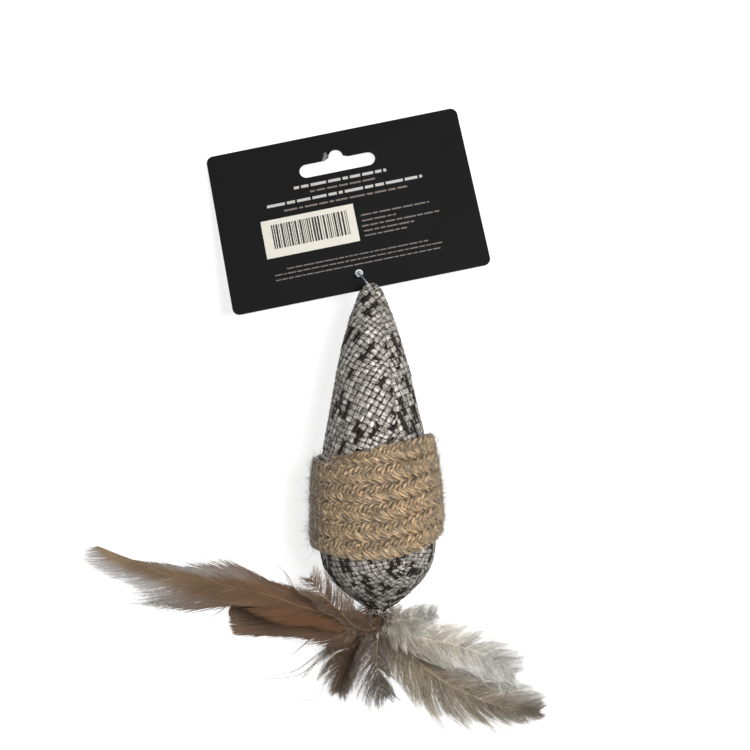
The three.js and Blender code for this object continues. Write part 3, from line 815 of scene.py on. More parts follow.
def stuffing():
    # The ball of fibre inside, lumpy and closed at both ends
    s = np.linspace(skinDistance(filling["tailPlace"]), outlineS[-1] - filling["noseInset"], filling["rows"])
    turn = np.linspace(0, 2 * math.pi, filling["columns"], endpoint=False)
    along, around = np.meshgrid(s, turn, indexing="ij")
    fine, coarse = filling["lumpRates"]
    lumps = np.sin(along * fine + 3 * around) * np.sin(5 * around - along * coarse) * filling["lump"]
    points, faces = cappedRings(skinPoint(along, around, lumps - filling["depth"]))
    piece = makePiece("stuffing", points, faces, looks["filling"], "toy", ("fibre_filling",))


wovenPanel("woven_panel_right", body["seamTurn"], math.pi / 2, "body_panel_right", 11)
wovenPanel("woven_panel_left", body["seamTurn"] - math.pi, 0, "body_panel_left", 23)
gapShadeShell("lining_shell_right", body["seamTurn"] + math.pi / 2, "lining_right")
gapShadeShell("lining_shell_left", body["seamTurn"] - math.pi / 2, "lining_left")
stuffing()
print("body made")


# Threads: the seams' running stitches inside, the closing of the tail and the binding of the quills

threads = {
    "seamRadius": 0.25 * mm,
    "seamSides": 6,
    "stitch": 3.2 * mm,
    "seamDepth": 2.65 * mm,
    "seamSide": 1.6 * mm,
    "endInset": 12 * mm,
    "coilRadius": 0.3 * mm,
    "coilSides": 8,
    "coilPitch": 1.1 * mm,
    "coilSteps": 40,
    "bindingPlace": -42.0 * mm,
    "bindingRadius": 3.78 * mm,
    "bindingTurns": 3,
    "closingPlace": -48.1 * mm,
    "closingRadius": 4.78 * mm,
    "closingTurns": 2,
    "shade": 0.5,
    "crest": 0.8,
}


def threadPiece(name, path, radius, sides, node):
    points, faces, grain = tubeMesh(path, radius, sides)
    layers = {"grain": grain, **{key: np.full(len(points), threads[key]) for key in ("shade", "crest")}}
    makePiece(name, points, faces, looks["thread"], "toy", (node,), layers)


def seamStitches(name, turn, node):
    # Stitches that cross the seam on the inside, to one side and then to the other
    first = skinDistance(-body["tailLength"] + threads["endInset"])
    corners = []
    for i, s in enumerate(np.arange(first, outlineS[-1] - threads["endInset"], threads["stitch"])):
        r = np.interp(s, outlineS, outlineR)
        for flip in (1, -1):
            side = (-flip if i % 2 else flip) * threads["seamSide"]
            corners.append(skinPoint(s, turn + side / r, -threads["seamDepth"]))
    path = smoothPath(corners, len(corners) * 5)
    threadPiece(name, path, threads["seamRadius"], threads["seamSides"], node)


def threadCoil(name, node, middle, turns, radius):
    turn = np.linspace(0, 2 * math.pi * turns, turns * threads["coilSteps"])
    y = middle + threads["coilPitch"] * (turn / (2 * math.pi) - turns / 2)
    path = toyPlace(radius * np.sin(turn), y, radius * np.cos(turn))
    threadPiece(name, path, threads["coilRadius"], threads["coilSides"], node)


raggedEnd = {
    "count": 40,
    "turnSpread": 0.08,
    "inset": (0.4, 1.2),
    "length": (3, 5.4),
    "width": (0.8, 1.6),
    "pastThread": 1.2 * mm,
    "backward": -1.5,
    "scatter": 0.45,
    "curl": 0.5,
    "segments": 5,
    "darkShare": 0.25,
}


def raggedEnds():
    # The cut ends of the ribbons, which stick out past the closing thread
    random = np.random.default_rng(31)
    count = raggedEnd["count"]
    turn = np.linspace(0, 2 * math.pi, count, endpoint=False)
    turn = turn + random.normal(0, raggedEnd["turnSpread"], count)
    radius = threads["closingRadius"] - random.uniform(*raggedEnd["inset"], count) * mm
    y = np.full(count, threads["closingPlace"] + raggedEnd["pastThread"])
    start = toyPlace(radius * np.sin(turn), y, radius * np.cos(turn))
    outward = toyPlace(np.sin(turn), np.full(count, raggedEnd["backward"]), np.cos(turn)) - toyPlace(0, 0, 0)
    direction = unit(outward + random.normal(0, raggedEnd["scatter"], (count, 3)))
    lengths = random.uniform(*raggedEnd["length"], count) * mm
    width = random.uniform(*raggedEnd["width"], count) * mm
    points, faces, grain = hairStrips(
        random, start, direction, lengths, raggedEnd["curl"], width, raggedEnd["segments"])
    corners = points.shape[1] * 2
    dark = (random.uniform(size=count) < raggedEnd["darkShare"]).astype(float)
    layers = {
        "grain": grain.reshape(-1, 3),
        "tone": np.repeat(dark, corners),
        "shade": np.repeat(random.uniform(0, 1, count), corners),
        # No painted gap shade on the cut ends
        "gap": np.zeros(count * corners),
    }
    makePiece("ragged_ribbon_ends", points, faces, looks["ribbon"], "toy", (), layers)


seamStitches("front_seam_stitches", body["seamTurn"], "front_seam_thread")
seamStitches("back_seam_stitches", body["seamTurn"] + math.pi, "back_seam_thread")
threadCoil("quill_binding", "feather_binding_thread", threads["bindingPlace"], threads["bindingTurns"],
           threads["bindingRadius"])
threadCoil("tail_closing", "tail_closing_thread", threads["closingPlace"], threads["closingTurns"],
           threads["closingRadius"])
raggedEnds()
print("threads made")


# The jute: a flat braid of three strands, each of three yarns, wound five times round the belly

braid = {
    "start": 17.4 * mm,
    "pitch": 6.7 * mm,
    "turns": 5,
    "tilt": 2.48 * mm,
    "dip": 2.0 * mm,
    "lastDip": 4.2 * mm,
    "head": math.radians(-45),
    "tail": math.radians(115),
    "taper": math.radians(60),
    "endShare": 0.4,
    "halfWidth": 3.35 * mm,
    "sway": 2.15 * mm,
    "rise": 0.7 * mm,
    "centreLift": 2.35 * mm,
    "repeat": 10.8 * mm,
    "skew": -0.6,
    "middleSteps": 3000,
}

yarn = {
    "gap": 1.2 * mm,
    "width": 0.74 * mm,
    "height": 0.85 * mm,
    "outerDrop": 0.12 * mm,
    "step": 0.72 * mm,
    "sides": 8,
    "twist": 0.6,
    "wobbles": ((0.12 * mm, 700), (0.1 * mm, 1900)),
    "swell": 0.1,
    "swellRate": 450,
    "unevenness": 0.05,
    "shadeSteps": 220,
    "crest": 0.45,
    "crestRound": 0.4,
    "crestRise": 0.25,
}

fuzz = {
    "count": 13000,
    "turnProbe": 0.02,
    "depthShares": (-0.2, 0.9),
    "lean": 0.7,
    "upward": (0.12, 0.3),
    "length": 1.1 * mm,
    "leastLength": 0.8 * mm,
    "width": (0.05, 0.11),
    "curl": 0.5,
    "segments": 6,
}

braidLast = 2 * math.pi * braid["turns"] + braid["tail"]
juteFloor = 0.02 * mm
outwardProbe = 1 * mm


def braidMiddle(turn):
    # Each turn leans to one side, and sags over the top of the belly, the last ones most
    wound = turn / (2 * math.pi)
    dip = np.interp(wound, [0, braid["turns"]], [braid["dip"], braid["lastDip"]])
    sag = dip * np.clip(np.cos(turn), 0, 1) ** 2
    return braid["start"] - braid["pitch"] * wound + braid["tilt"] * np.sin(turn) - sag


def wrapPoint(turn, across, lift):
    # A place over the skin beside the braid's middle line
    return skinPoint(skinDistance(braidMiddle(turn) + across), turn, lift)


def braidEnds(turn):
    # The share of its full width that the braid has, and how far its narrow ends lie to the side
    fromEnd = np.minimum(turn - braid["head"], braidLast - turn) / braid["taper"]
    share = braid["endShare"] + (1 - braid["endShare"]) * np.clip(fromEnd, 0, 1)
    side = np.where(turn < braidLast / 2, -1, 1) * (1 - share) * braid["halfWidth"]
    return share, side


def yarnTube(random, strand, number, s, turns, length):
    # One yarn of a strand: an oval tube that sways across the braid and dips under the other strands
    phase = 2 * math.pi * (s / braid["repeat"] + strand / 3)
    steep = 2 * math.pi * braid["sway"] / braid["repeat"] * np.cos(phase)
    flat = np.sqrt(1 + steep ** 2)
    offset = number * yarn["gap"]
    wobble = sum(size * np.sin(s * rate + random.uniform(0, 6)) for size, rate in yarn["wobbles"])
    x = braid["sway"] * np.sin(phase) + offset / flat + wobble
    along = s - offset * steep / flat + braid["skew"] * x
    height = braid["rise"] * np.sin(2 * phase) - yarn["outerDrop"] * abs(number)
    turn = np.interp(along, length, turns)
    share, side = braidEnds(turn)
    lift = (braid["centreLift"] + height) * np.sqrt(share)
    centre = wrapPoint(turn, x * share + side, lift)
    tangent = unit(np.gradient(centre, axis=0))
    out = unit(wrapPoint(turn, x * share + side, lift + outwardProbe) - centre)
    sideways = unit(np.cross(tangent, out))
    out = np.cross(sideways, tangent)
    swell = 1 + yarn["swell"] * np.sin(s * yarn["swellRate"] + random.uniform(0, 6))
    swell = swell + random.uniform(-yarn["unevenness"], yarn["unevenness"], len(s))
    angle = np.linspace(0, 2 * math.pi, yarn["sides"], endpoint=False)
    wide = (yarn["width"] * share * swell)[:, None, None]
    high = (yarn["height"] * share * swell)[:, None, None]
    rings = centre[:, None] + wide * np.cos(angle)[None, :, None] * sideways[:, None]
    rings = rings + high * np.sin(angle)[None, :, None] * out[:, None]
    rings[..., 2] = np.maximum(rings[..., 2], juteFloor)
    around = angle[None] * yarn["width"] + s[:, None] * yarn["twist"]
    grain = stacked(s[:, None], around, strand * 3 + number + 0.3)
    shade = np.interp(s, np.linspace(0, s[-1], yarn["shadeSteps"]), random.uniform(0, 1, yarn["shadeSteps"]))
    # Painted light and shade: brighter on the yarn's top and where it rises, darker below and where it dips
    crest = yarn["crest"] + yarn["crestRound"] * np.sin(angle)[None]
    crest = np.clip(crest + yarn["crestRise"] * (height / braid["rise"])[:, None], 0, 1)
    layers = {
        "grain": grain.reshape(-1, 3),
        "shade": np.repeat(shade, yarn["sides"]),
        "crest": crest.reshape(-1),
    }
    return rings, gridFaces(len(s), yarn["sides"], closed=True), layers


def juteBraid():
    random = np.random.default_rng(5)
    turns = np.linspace(braid["head"], braidLast, braid["middleSteps"])
    length = lengthAlong(wrapPoint(turns, 0, braid["centreLift"]))
    s = np.arange(0, length[-1], yarn["step"])
    points, faces, layers = joinMeshes(
        [yarnTube(random, strand, number, s, turns, length) for strand in range(3) for number in (-1, 0, 1)])
    makePiece("jute_braid", points, faces, looks["jute"], "toy", ("jute_wrap",), layers)
    print("jute braid", len(faces))


def juteHairs():
    # Loose fibres that lie along the braid and stand a little off it
    random = np.random.default_rng(8)
    count = fuzz["count"]
    turn = random.uniform(braid["head"], braidLast, count)
    share, side = braidEnds(turn)
    across = random.uniform(-1, 1, count) * braid["halfWidth"] * share + side
    lift = braid["centreLift"] + braid["rise"] + yarn["height"] * random.uniform(*fuzz["depthShares"], count)
    lift = lift * np.sqrt(share)
    start = wrapPoint(turn, across, lift)
    out = unit(wrapPoint(turn, across, lift + outwardProbe) - start)
    around = unit(wrapPoint(turn + fuzz["turnProbe"], across, lift) - start)
    lean = random.normal(0, fuzz["lean"], (count, 1)) * np.cross(out, around)
    upward = np.abs(random.normal(*fuzz["upward"], (count, 1))) * out
    around = around * np.where(random.uniform(size=(count, 1)) < 0.5, -1, 1)
    lengths = random.gamma(3, fuzz["length"], count) + fuzz["leastLength"]
    width = random.uniform(*fuzz["width"], count) * mm
    points, faces, grain = hairStrips(
        random, start, unit(around + lean + upward), lengths, fuzz["curl"], width, fuzz["segments"])
    points[..., 2] = np.maximum(points[..., 2], juteFloor)
    shade = np.repeat(random.uniform(0, 1, count), points.shape[1] * 2)
    layers = {"grain": grain.reshape(-1, 3), "shade": shade, "crest": shade}
    makePiece("jute_fuzz", points, faces, looks["juteHair"], "toy", (), layers)


juteBraid()
juteHairs()
print("jute made")


# Feathers: a quill that carries two rows of barbs, out of the binding and drooping to the floor

plume = {
    "rowPitch": 1.2 * mm,
    "root": 3.6 * mm,
    "exit": 8.0 * mm,
    "routeSteps": 300,
    "floorGap": 0.15 * mm,
    "quillRadius": 0.45 * mm,
    "quillSides": 8,
    "quillStride": 3,
    "quillThinning": (0.82, 0.8),
    "downThinning": (0.7, 0.12, 0.2),
    "quillFloorGap": 0.1 * mm,
    "quillLift": 1.8 * mm,
}

barb = {
    "points": 11,
    "probe": 1 * mm,
    "rootCrowding": 1.3,
    "overlap": 0.3 * mm,
    "clumpBlur": 0.012,
    "clumpLengths": (0.84, 1.1),
    "longest": 1.06,
    "splayReach": 0.3,
    "rootSpread": 0.05,
    "tipSpread": 0.06,
    "rootLoose": 0.3,
    "leastAngle": 0.12,
    "leastSlant": 0.2,
    "roundingPower": 4,
    "waves": (3, 8),
    "strayTurn": 0.5,
    "strayRoot": 0.4,
    "strayShare": 0.6,
    "gatherStart": 0.3,
    "riseSpread": 0.5,
    "clumpRise": 0.4,
    "waveRise": (0.25, 40),
    "lift": 0.15 * mm,
    "rootLift": 0.3,
    "clumpShadeShare": 0.55,
    "ownShadeShare": 0.45,
    "tilt": 0.25,
    "thinning": 0.72,
    "fringeThinning": 0.62,
    "fringeStart": 0.35,
    "outerStart": 0.25,
    "outerWidth": 0.6,
}

barbule = {
    "width": 0.08 * mm,
    "lengths": (1.0, 3.2),
    "start": 0.05,
    "crowding": 1.5,
    "slant": (0.4, 1.1),
    "tipSlant": 0.5,
    "tipLength": 0.7,
    "outerThinning": 0.5,
    "curl": 0.35,
    "segments": 2,
    "shadeSpread": 0.15,
}

feathers = {
    "long_brown_feather": {
        "body": "brown_feathers", "slot": "brown_feather", "look": "brown", "quill": "brownQuill",
        "row": 2, "column": -1,
        "reach": 121, "tipHeight": 3, "droopReach": 121, "vaneStart": 14,
        "route": [(-0.033, -0.081), (-0.075, -0.079), (-0.13, -0.062), (-0.262, -0.028), (-0.36, 0.005),
                  (-0.487, 0.03), (-0.627, 0.054), (-0.768, 0.09), (-0.88, 0.128), (-0.965, 0.163)],
        "left": [5, 9, 8.5, 9, 11, 14, 14.5, 12, 10, 9, 8.5, 8, 5],
        "leftFringe": [0, 0, 0, 0, 0.1, 0.3, 0.6, 0.9, 1, 1, 1, 1],
        "right": [5, 6.6, 7.2, 7, 6.9, 6.4, 5, 4.2, 3.4, 1.9, 0.8, 0.5, 0.3],
        "rightFringe": [0, 0, 0.1, 0.3, 0.7, 0.6, 0.4, 0.1, 0, 0],
        "barbs": 2400, "leftAngles": (38, 17), "rightAngles": (26, 9), "width": 0.42, "spread": 0.22,
        "clump": 26, "loose": 0.02, "gather": 0.1, "stray": 0.01,
        "overhang": 5, "curl": 0.03, "ragged": 0.22, "splay": 0, "barbules": 0,
    },
    "short_brown_feather": {
        "body": "brown_feathers", "slot": "brown_feather", "look": "shortBrown",
        "quill": "brownQuill", "row": 1, "column": 0,
        "reach": 62, "tipHeight": 2.4, "droopReach": 62, "vaneStart": 14,
        "route": [(-0.05, -0.17), (-0.137, -0.19), (-0.253, -0.178), (-0.52, -0.145), (-0.75, -0.1),
                  (-0.99, -0.113)],
        "left": [7, 11, 12, 12, 12, 11, 10, 9], "leftFringe": [0.3, 0.4, 0.4, 0.2, 0, 0],
        "right": [3, 4, 5, 4.5, 4, 3, 2.5, 2], "rightFringe": [0, 0],
        "barbs": 2000, "leftAngles": (28, 10), "rightAngles": (28, 10), "width": 0.7, "spread": 0.2,
        "clump": 26, "loose": 0.008, "gather": 0.04, "stray": 0.01,
        "overhang": 1, "curl": 0.03, "ragged": 0.25, "splay": 12, "barbules": 0, "rounding": 2.2,
    },
    "upper_brown_marabou": {
        "body": "brown_feathers", "slot": "russet_down", "look": "tuft", "quill": "brownQuill",
        "row": 2, "column": 1,
        "reach": 30, "tipHeight": 37.5, "droopReach": 30, "vaneStart": 2,
        "route": [(-0.02, -0.4), (-0.27, -0.41), (-0.53, -0.16), (-0.73, 0.07), (-0.9, 0.32)],
        "left": [1, 2, 3, 7, 8, 5], "leftFringe": [0.2, 0.7], "right": [17, 17, 14, 12, 9, 6],
        "rightFringe": [0.3, 1],
        "barbs": 620, "leftAngles": (60, 24), "rightAngles": (60, 24), "width": 0.17, "spread": 2.0,
        "clump": 6, "loose": 0.18, "gather": 0.85, "stray": 0.12,
        "overhang": 8, "curl": 0.45, "ragged": 0.75, "splay": 35, "barbules": 14,
    },
    "lower_brown_marabou": {
        "body": "centre_feathers", "slot": "russet_down", "look": "russet", "quill": "brownQuill",
        "row": 0, "column": -1,
        "reach": 51, "tipHeight": 3, "droopReach": 45, "vaneStart": 6,
        "route": [(-0.07, -0.2), (-0.18, -0.38), (-0.28, -0.61), (-0.35, -0.83)],
        "left": [4, 7, 8, 8, 6, 4], "leftFringe": [0.1, 0.8], "right": [13, 15, 13, 10, 6, 4],
        "rightFringe": [0.1, 0.8],
        "barbs": 1400, "leftAngles": (46, 12), "rightAngles": (46, 14), "width": 0.17, "spread": 2.4,
        "clump": 7, "loose": 0.14, "gather": 0.8, "stray": 0.1,
        "overhang": 9, "curl": 0.35, "ragged": 0.8, "splay": 18, "barbules": 16,
    },
    "grey_down_feather": {
        "body": "centre_feathers", "slot": "grey_down", "look": "grey", "quill": "quill",
        "row": 0, "column": 1,
        "reach": 54, "tipHeight": 4.4, "droopReach": 66, "vaneStart": 6,
        "route": [(0.005, -0.2), (-0.025, -0.42), (-0.02, -0.62), (0.02, -0.8)],
        "left": [6, 8, 9, 9, 8, 6], "leftFringe": [0.1, 0.9], "right": [9, 11, 12, 11, 9, 6],
        "rightFringe": [0.1, 0.9],
        "barbs": 900, "leftAngles": (44, 14), "rightAngles": (44, 14), "width": 0.15, "spread": 2.6,
        "clump": 7, "loose": 0.24, "gather": 0.9, "stray": 0.08,
        "overhang": 13, "curl": 0.25, "ragged": 0.85, "splay": 30, "barbules": 12,
    },
    "white_marabou_tuft": {
        "body": "white_feathers", "slot": "white_down", "look": "white", "quill": "quill",
        "row": -1, "column": 1,
        "reach": 28, "tipHeight": 30.5, "droopReach": 28, "vaneStart": 5,
        "route": [(0.13, -0.34), (0.35, -0.36), (0.58, -0.33), (0.8, -0.26)],
        "left": [8, 9, 9, 8, 7, 5], "leftFringe": [0.3, 1], "right": [8, 9, 10, 9, 7, 5],
        "rightFringe": [0.2, 1],
        "barbs": 560, "leftAngles": (66, 36), "rightAngles": (66, 36), "width": 0.14, "spread": 3.0,
        "clump": 6, "loose": 0.24, "gather": 0.75, "stray": 0.3,
        "overhang": 4, "curl": 0.8, "ragged": 0.8, "splay": 35, "barbules": 26,
    },
    "white_marabou": {
        "body": "white_feathers", "slot": "white_down", "look": "white", "quill": "quill",
        "row": -1, "column": -1,
        "reach": 67, "tipHeight": 5.6, "droopReach": 56, "vaneStart": 8,
        "route": [(0.01, -0.17), (0.2, -0.26), (0.44, -0.345), (0.67, -0.45), (0.83, -0.55)],
        "left": [4, 10, 12, 12, 12, 10], "leftFringe": [0.4, 1], "right": [5, 12, 14, 13, 13, 11],
        "rightFringe": [0.1, 1],
        "barbs": 1500, "leftAngles": (56, 26), "rightAngles": (54, 18), "width": 0.15, "spread": 4.2,
        "clump": 11, "loose": 0.26, "gather": 0.95, "stray": 0.14,
        "overhang": 9, "curl": 0.5, "ragged": 0.85, "splay": 35, "barbules": 18,
    },
    "cream_marabou": {
        "body": "white_feathers", "slot": "cream_down", "look": "cream", "quill": "quill",
        "row": -2, "column": 0,
        "reach": 84, "tipHeight": 2.2, "droopReach": 42, "vaneStart": 8,
        "route": [(0.03, -0.13), (0.08, -0.225), (0.24, -0.425), (0.48, -0.57), (0.67, -0.63),
                  (0.77, -0.64)],
        "left": [4, 12, 14, 17, 18, 13, 5], "leftFringe": [0.2, 0.9, 1, 1, 0.4],
        "right": [8, 15, 15, 12, 9, 6, 4],
        "rightFringe": [0, 0.1, 0.3],
        "barbs": 2300, "leftAngles": (48, 15), "rightAngles": (44, 13), "width": 0.19, "spread": 2.8,
        "clump": 8, "loose": 0.13, "gather": 0.75, "stray": 0.12,
        "overhang": 8, "curl": 0.4, "ragged": 0.75, "splay": 30, "barbules": 16,
    },
}


def plumePlace(points):
    # Coordinates from the binding, with y towards the nose, to the frame's
    return toyPlace(points[..., 0], points[..., 1] + threads["bindingPlace"], points[..., 2])


def overFloor(points):
    places = plumePlace(points)
    places[..., 2] = np.maximum(places[..., 2], plume["floorGap"])
    return places


def featherHeight(feather, distance):
    root = feather["row"] * plume["rowPitch"]
    along = (distance - plume["exit"]) / (feather["droopReach"] * mm - plume["exit"])
    return root + (feather["tipHeight"] * mm - nosePivot[2] - root) * smoothStep(along)


def featherRoute(feather):
    column = feather["column"] * plume["rowPitch"] / 2
    route = [(column, plume["root"], 0), (column, 0, 0), (column, -plume["exit"], 0)]
    route += [(x * feather["reach"] * mm, y * feather["reach"] * mm, 0) for x, y in feather["route"]]
    return smoothPath(route, plume["routeSteps"])


def shareOf(values, share):
    # Values listed evenly from root to tip, read at some shares of the way
    return np.interp(share, np.linspace(0, 1, len(values)), values)


def gatherClumps(lines, clump, clumps, pull):
    # Draws each barb towards the middle of its clump, seen from above
    members = np.maximum(np.bincount(clump, minlength=clumps + 1), 1)
    for axis in (0, 1):
        sums = np.stack([np.bincount(clump, row, clumps + 1) for row in lines[..., axis].T], axis=1)
        lines[..., axis] += ((sums / members[:, None])[clump] - lines[..., axis]) * pull


def barbLines(random, feather, line, side, reaches, angles):
    # The barbs on one side of a quill: each leaves it at an angle, bends forward and closes up with its clump
    count = feather["barbs"] // 2
    length = lengthAlong(line)
    start = plume["root"] + feather["vaneStart"] * mm
    share = np.sort(random.uniform(0, 1, count)) ** (barb["rootCrowding"] if feather["barbules"] else 1)
    place = start + share * (length[-1] - start)
    ahead, behind = (pointsAt(line, length, place + probe) for probe in (barb["probe"], -barb["probe"]))
    tangent = unit(ahead - behind)
    normal = side * np.stack([-tangent[:, 1], tangent[:, 0], np.zeros(count)], axis=-1)
    base = pointsAt(line, length, place) - normal * barb["overlap"]
    clumps = max(count // feather["clump"], 2)
    blurred = share + random.normal(0, barb["clumpBlur"], count)
    clump = np.searchsorted(np.sort(random.uniform(0, 1, clumps)), blurred)
    clumpTurn = random.normal(0, 1, clumps + 1)[clump]
    clumpLong = random.uniform(*barb["clumpLengths"], clumps + 1)[clump]
    clumpShade = random.uniform(0, 1, clumps + 1)[clump]
    reach = shareOf(reaches, share) * mm * clumpLong
    reach = reach * (barb["longest"] - feather["ragged"] * random.uniform(0, 1, count) ** 2)
    stray = (random.uniform(0, 1, count) < feather["stray"]) * random.normal(0, barb["strayTurn"], count)
    splay = np.radians(feather["splay"]) * np.clip(1 - share / barb["splayReach"], 0, 1)
    loose = clumpTurn * feather["loose"]
    first = np.radians(angles[0]) + splay + random.normal(0, barb["rootSpread"], count)
    first = first + loose * barb["rootLoose"]
    final = np.radians(angles[1]) + splay + random.normal(0, barb["tipSpread"], count) + loose
    t = np.linspace(0, 1, barb["points"])
    angle = first[:, None] + (final - first)[:, None] * t[None]
    slant = np.mean(np.sin(np.clip(angle, barb["leastAngle"], 3)), axis=1)
    long = reach / np.maximum(slant, barb["leastSlant"])
    forward = np.maximum(long * np.mean(np.cos(angle), axis=1), 1e-6)
    room = length[-1] - place + feather["overhang"] * mm * random.uniform(0, 1, count)
    room = room - feather.get("rounding", 0) * mm * np.minimum(room / forward, 1) ** barb["roundingPower"]
    long = long * np.minimum(1, room / forward) * np.where(stray == 0, 1, barb["strayShare"])
    waves = random.uniform(*barb["waves"], (count, 1))
    angle = angle + feather["curl"] * np.sin(t[None] * waves + random.uniform(0, 6, (count, 1))) * t[None]
    angle = angle + stray[:, None] * (barb["strayRoot"] + (1 - barb["strayRoot"]) * t[None])
    steps = np.cos(angle)[..., None] * tangent[:, None] + np.sin(angle)[..., None] * normal[:, None]
    lines = walked(base, steps * (long / (barb["points"] - 1))[:, None, None])
    drawn = smoothStep((t - barb["gatherStart"]) / (1 - barb["gatherStart"]))
    gatherClumps(lines, clump, clumps, feather["gather"] * np.where(stray == 0, 1, 0)[:, None] * drawn[None])
    waveRise, waveRate = barb["waveRise"]
    rise = random.normal(0, 1, (count, 1)) * barb["riseSpread"] + clumpTurn[:, None] * barb["clumpRise"]
    rise = rise + waveRise * np.sin(share * waveRate)[:, None]
    opening = barb["rootLift"] + (1 - barb["rootLift"]) * t[None]
    lift = feather["spread"] * mm * rise * smoothStep(t)[None] * opening
    lines[..., 2] = featherHeight(feather, np.hypot(lines[..., 0], lines[..., 1])) + lift + barb["lift"]
    ownShade = barb["ownShadeShare"] * random.uniform(0, 1, count)
    return lines, t, share, long, barb["clumpShadeShare"] * clumpShade + ownShade


def stripsFrom(random, lines, width):
    # Flat strips along many lines of points, nearly level
    tangent = unit(np.gradient(lines, axis=1))
    up = np.array([0, 0, 1.0]) + random.normal(0, barb["tilt"], (len(lines), 1, 3))
    return flatStrips(lines, unit(np.cross(tangent, up)), width)


def vane(random, feather, line, side, key):
    # One side of a feather: its barbs and, on down, their barbules
    reaches, angles = feather[key], feather[key + "Angles"]
    lines, t, share, long, shade = barbLines(random, feather, line, side, reaches, angles)
    count, corners = len(lines), len(t) * 2
    fringe = shareOf(feather[key + "Fringe"], share)[:, None]
    outer = fringe * smoothStep((t[None] - barb["outerStart"]) / barb["outerWidth"])
    thin = barb["fringeThinning"] * fringe * smoothStep((t[None] - barb["fringeStart"]) / barb["fringeStart"])
    width = feather["width"] * mm * (1 - barb["thinning"] * t[None] ** 2) * (1 - thin)
    strips = stripsFrom(random, lines, width)
    across = np.array([-0.5, 0.5]) * feather["width"] * mm
    grain = stacked((t[None] * long[:, None])[..., None], across, random.uniform(0, 1, (count, 1, 1)))
    layers = {
        "grain": grain.reshape(-1, 3),
        "shade": np.repeat(shade, corners),
        "reach": np.repeat(share, corners),
        "outer": np.repeat(outer.reshape(-1), 2),
    }
    parts = [(overFloor(strips), stripFaces(count, len(t), 2), layers)]
    if feather["barbules"]:
        parts.append(barbules(random, feather, lines, share, outer, shade))
    return parts


def barbules(random, feather, lines, share, outer, shade):
    # The soft side hairs of each barb, as short thin strips
    count, along, last = len(lines), feather["barbules"], lines.shape[1] - 1
    crowded = random.uniform(0, 1, (count, along)) ** barbule["crowding"]
    where = (barbule["start"] + (1 - barbule["start"]) * crowded) * last
    low = np.minimum(where.astype(int), last - 1)
    part = (where - low)[..., None]
    rows = np.arange(count)[:, None]
    start = lines[rows, low] * (1 - part) + lines[rows, low + 1] * part
    tangent = unit(lines[rows, low + 1] - lines[rows, low])
    side = unit(np.cross(tangent, random.normal(0, 1, tangent.shape)))
    far = where / last
    slant = random.uniform(*barbule["slant"], (count, along)) * (1 - barbule["tipSlant"] * far)
    direction = unit(tangent + side * slant[..., None])
    shorter = 1 - barbule["tipLength"] * far.reshape(-1) ** 2
    lengths = random.uniform(*barbule["lengths"], count * along) * mm * shorter
    outer = outer[rows, low].reshape(-1)
    width = barbule["width"] * (1 - barbule["outerThinning"] * outer)
    points, faces, grain = hairStrips(
        random, start.reshape(-1, 3), direction.reshape(-1, 3), lengths, barbule["curl"], width,
        barbule["segments"])
    corners = points.shape[1] * 2
    shade = np.repeat(shade, along) + random.normal(0, barbule["shadeSpread"], count * along)
    layers = {
        "grain": grain.reshape(-1, 3),
        "shade": np.repeat(np.clip(shade, 0, 1), corners),
        "reach": np.repeat(np.repeat(share, along), corners),
        "outer": np.repeat(outer, corners),
    }
    return overFloor(points), faces, layers


def quillPiece(name, feather, line):
    reach = np.hypot(line[:, 0], line[:, 1])
    height = featherHeight(feather, reach)
    if feather["barbules"]:
        height = height + plume["quillLift"] * smoothStep((reach - plume["exit"]) / plume["exit"])
    path = plumePlace(np.stack([line[:, 0], line[:, 1], height], axis=-1))[::plume["quillStride"]]
    share = np.linspace(0, 1, len(path))
    thinning, power = plume["quillThinning"]
    radius = plume["quillRadius"] * (1 - thinning * share ** power)
    if feather["barbules"]:
        thinning, first, width = plume["downThinning"]
        radius = radius * (1 - thinning * smoothStep((share - first) / width))
    path[:, 2] = np.maximum(path[:, 2], radius + plume["quillFloorGap"])
    sides = plume["quillSides"]
    points = tubeRings(path, radius, sides).reshape(-1, 3)
    layers = {
        "grain": np.zeros((len(points), 3)),
        "shade": np.full(len(points), 0.5),
        "reach": np.repeat(share, sides),
        "outer": np.zeros(len(points)),
    }
    makePiece(name, points, gridFaces(len(path), sides, closed=True), looks[feather["quill"]],
              feather["body"], (), layers)


def featherPiece(name, feather, seed):
    random = np.random.default_rng(seed)
    line = featherRoute(feather)
    parts = vane(random, feather, line, 1, "left") + vane(random, feather, line, -1, "right")
    points, faces, layers = joinMeshes(parts)
    makePiece(name + "_barbs", points, faces, looks[feather["look"]], feather["body"],
              (name,), layers)
    quillPiece(name + "_quill", feather, line)
    print(name, len(faces))


wisps = {
    "brown_wisps": {
        "body": "brown_feathers", "slot": "brown_feather", "look": "brown",
        "height": 9 * mm, "width": 0.16 * mm,
        "pixels": [[(296, 592), (288, 577), (281, 567), (273, 561)], [(296, 592), (290, 581), (286, 573)],
                   [(206, 600), (196, 608), (186, 611)], [(228, 604), (220, 611), (207, 616)]],
    },
    "down_wisps": {
        "body": "centre_feathers", "slot": "russet_down", "look": "grey",
        "height": 5 * mm, "width": 0.17 * mm,
        "pixels": [[(334, 640), (318, 654), (300, 668), (284, 674), (262, 670)],
                   [(336, 646), (320, 660), (302, 672), (288, 678), (266, 676)],
                   [(342, 655), (330, 672), (318, 694), (298, 702)], [(346, 660), (336, 684), (330, 712)],
                   [(340, 640), (326, 648), (312, 664), (300, 682)]],
    },
}
wispHair = {"copies": 3, "steps": 24, "spread": (0.2, 1.6), "rise": 1.5, "thinning": 0.7}


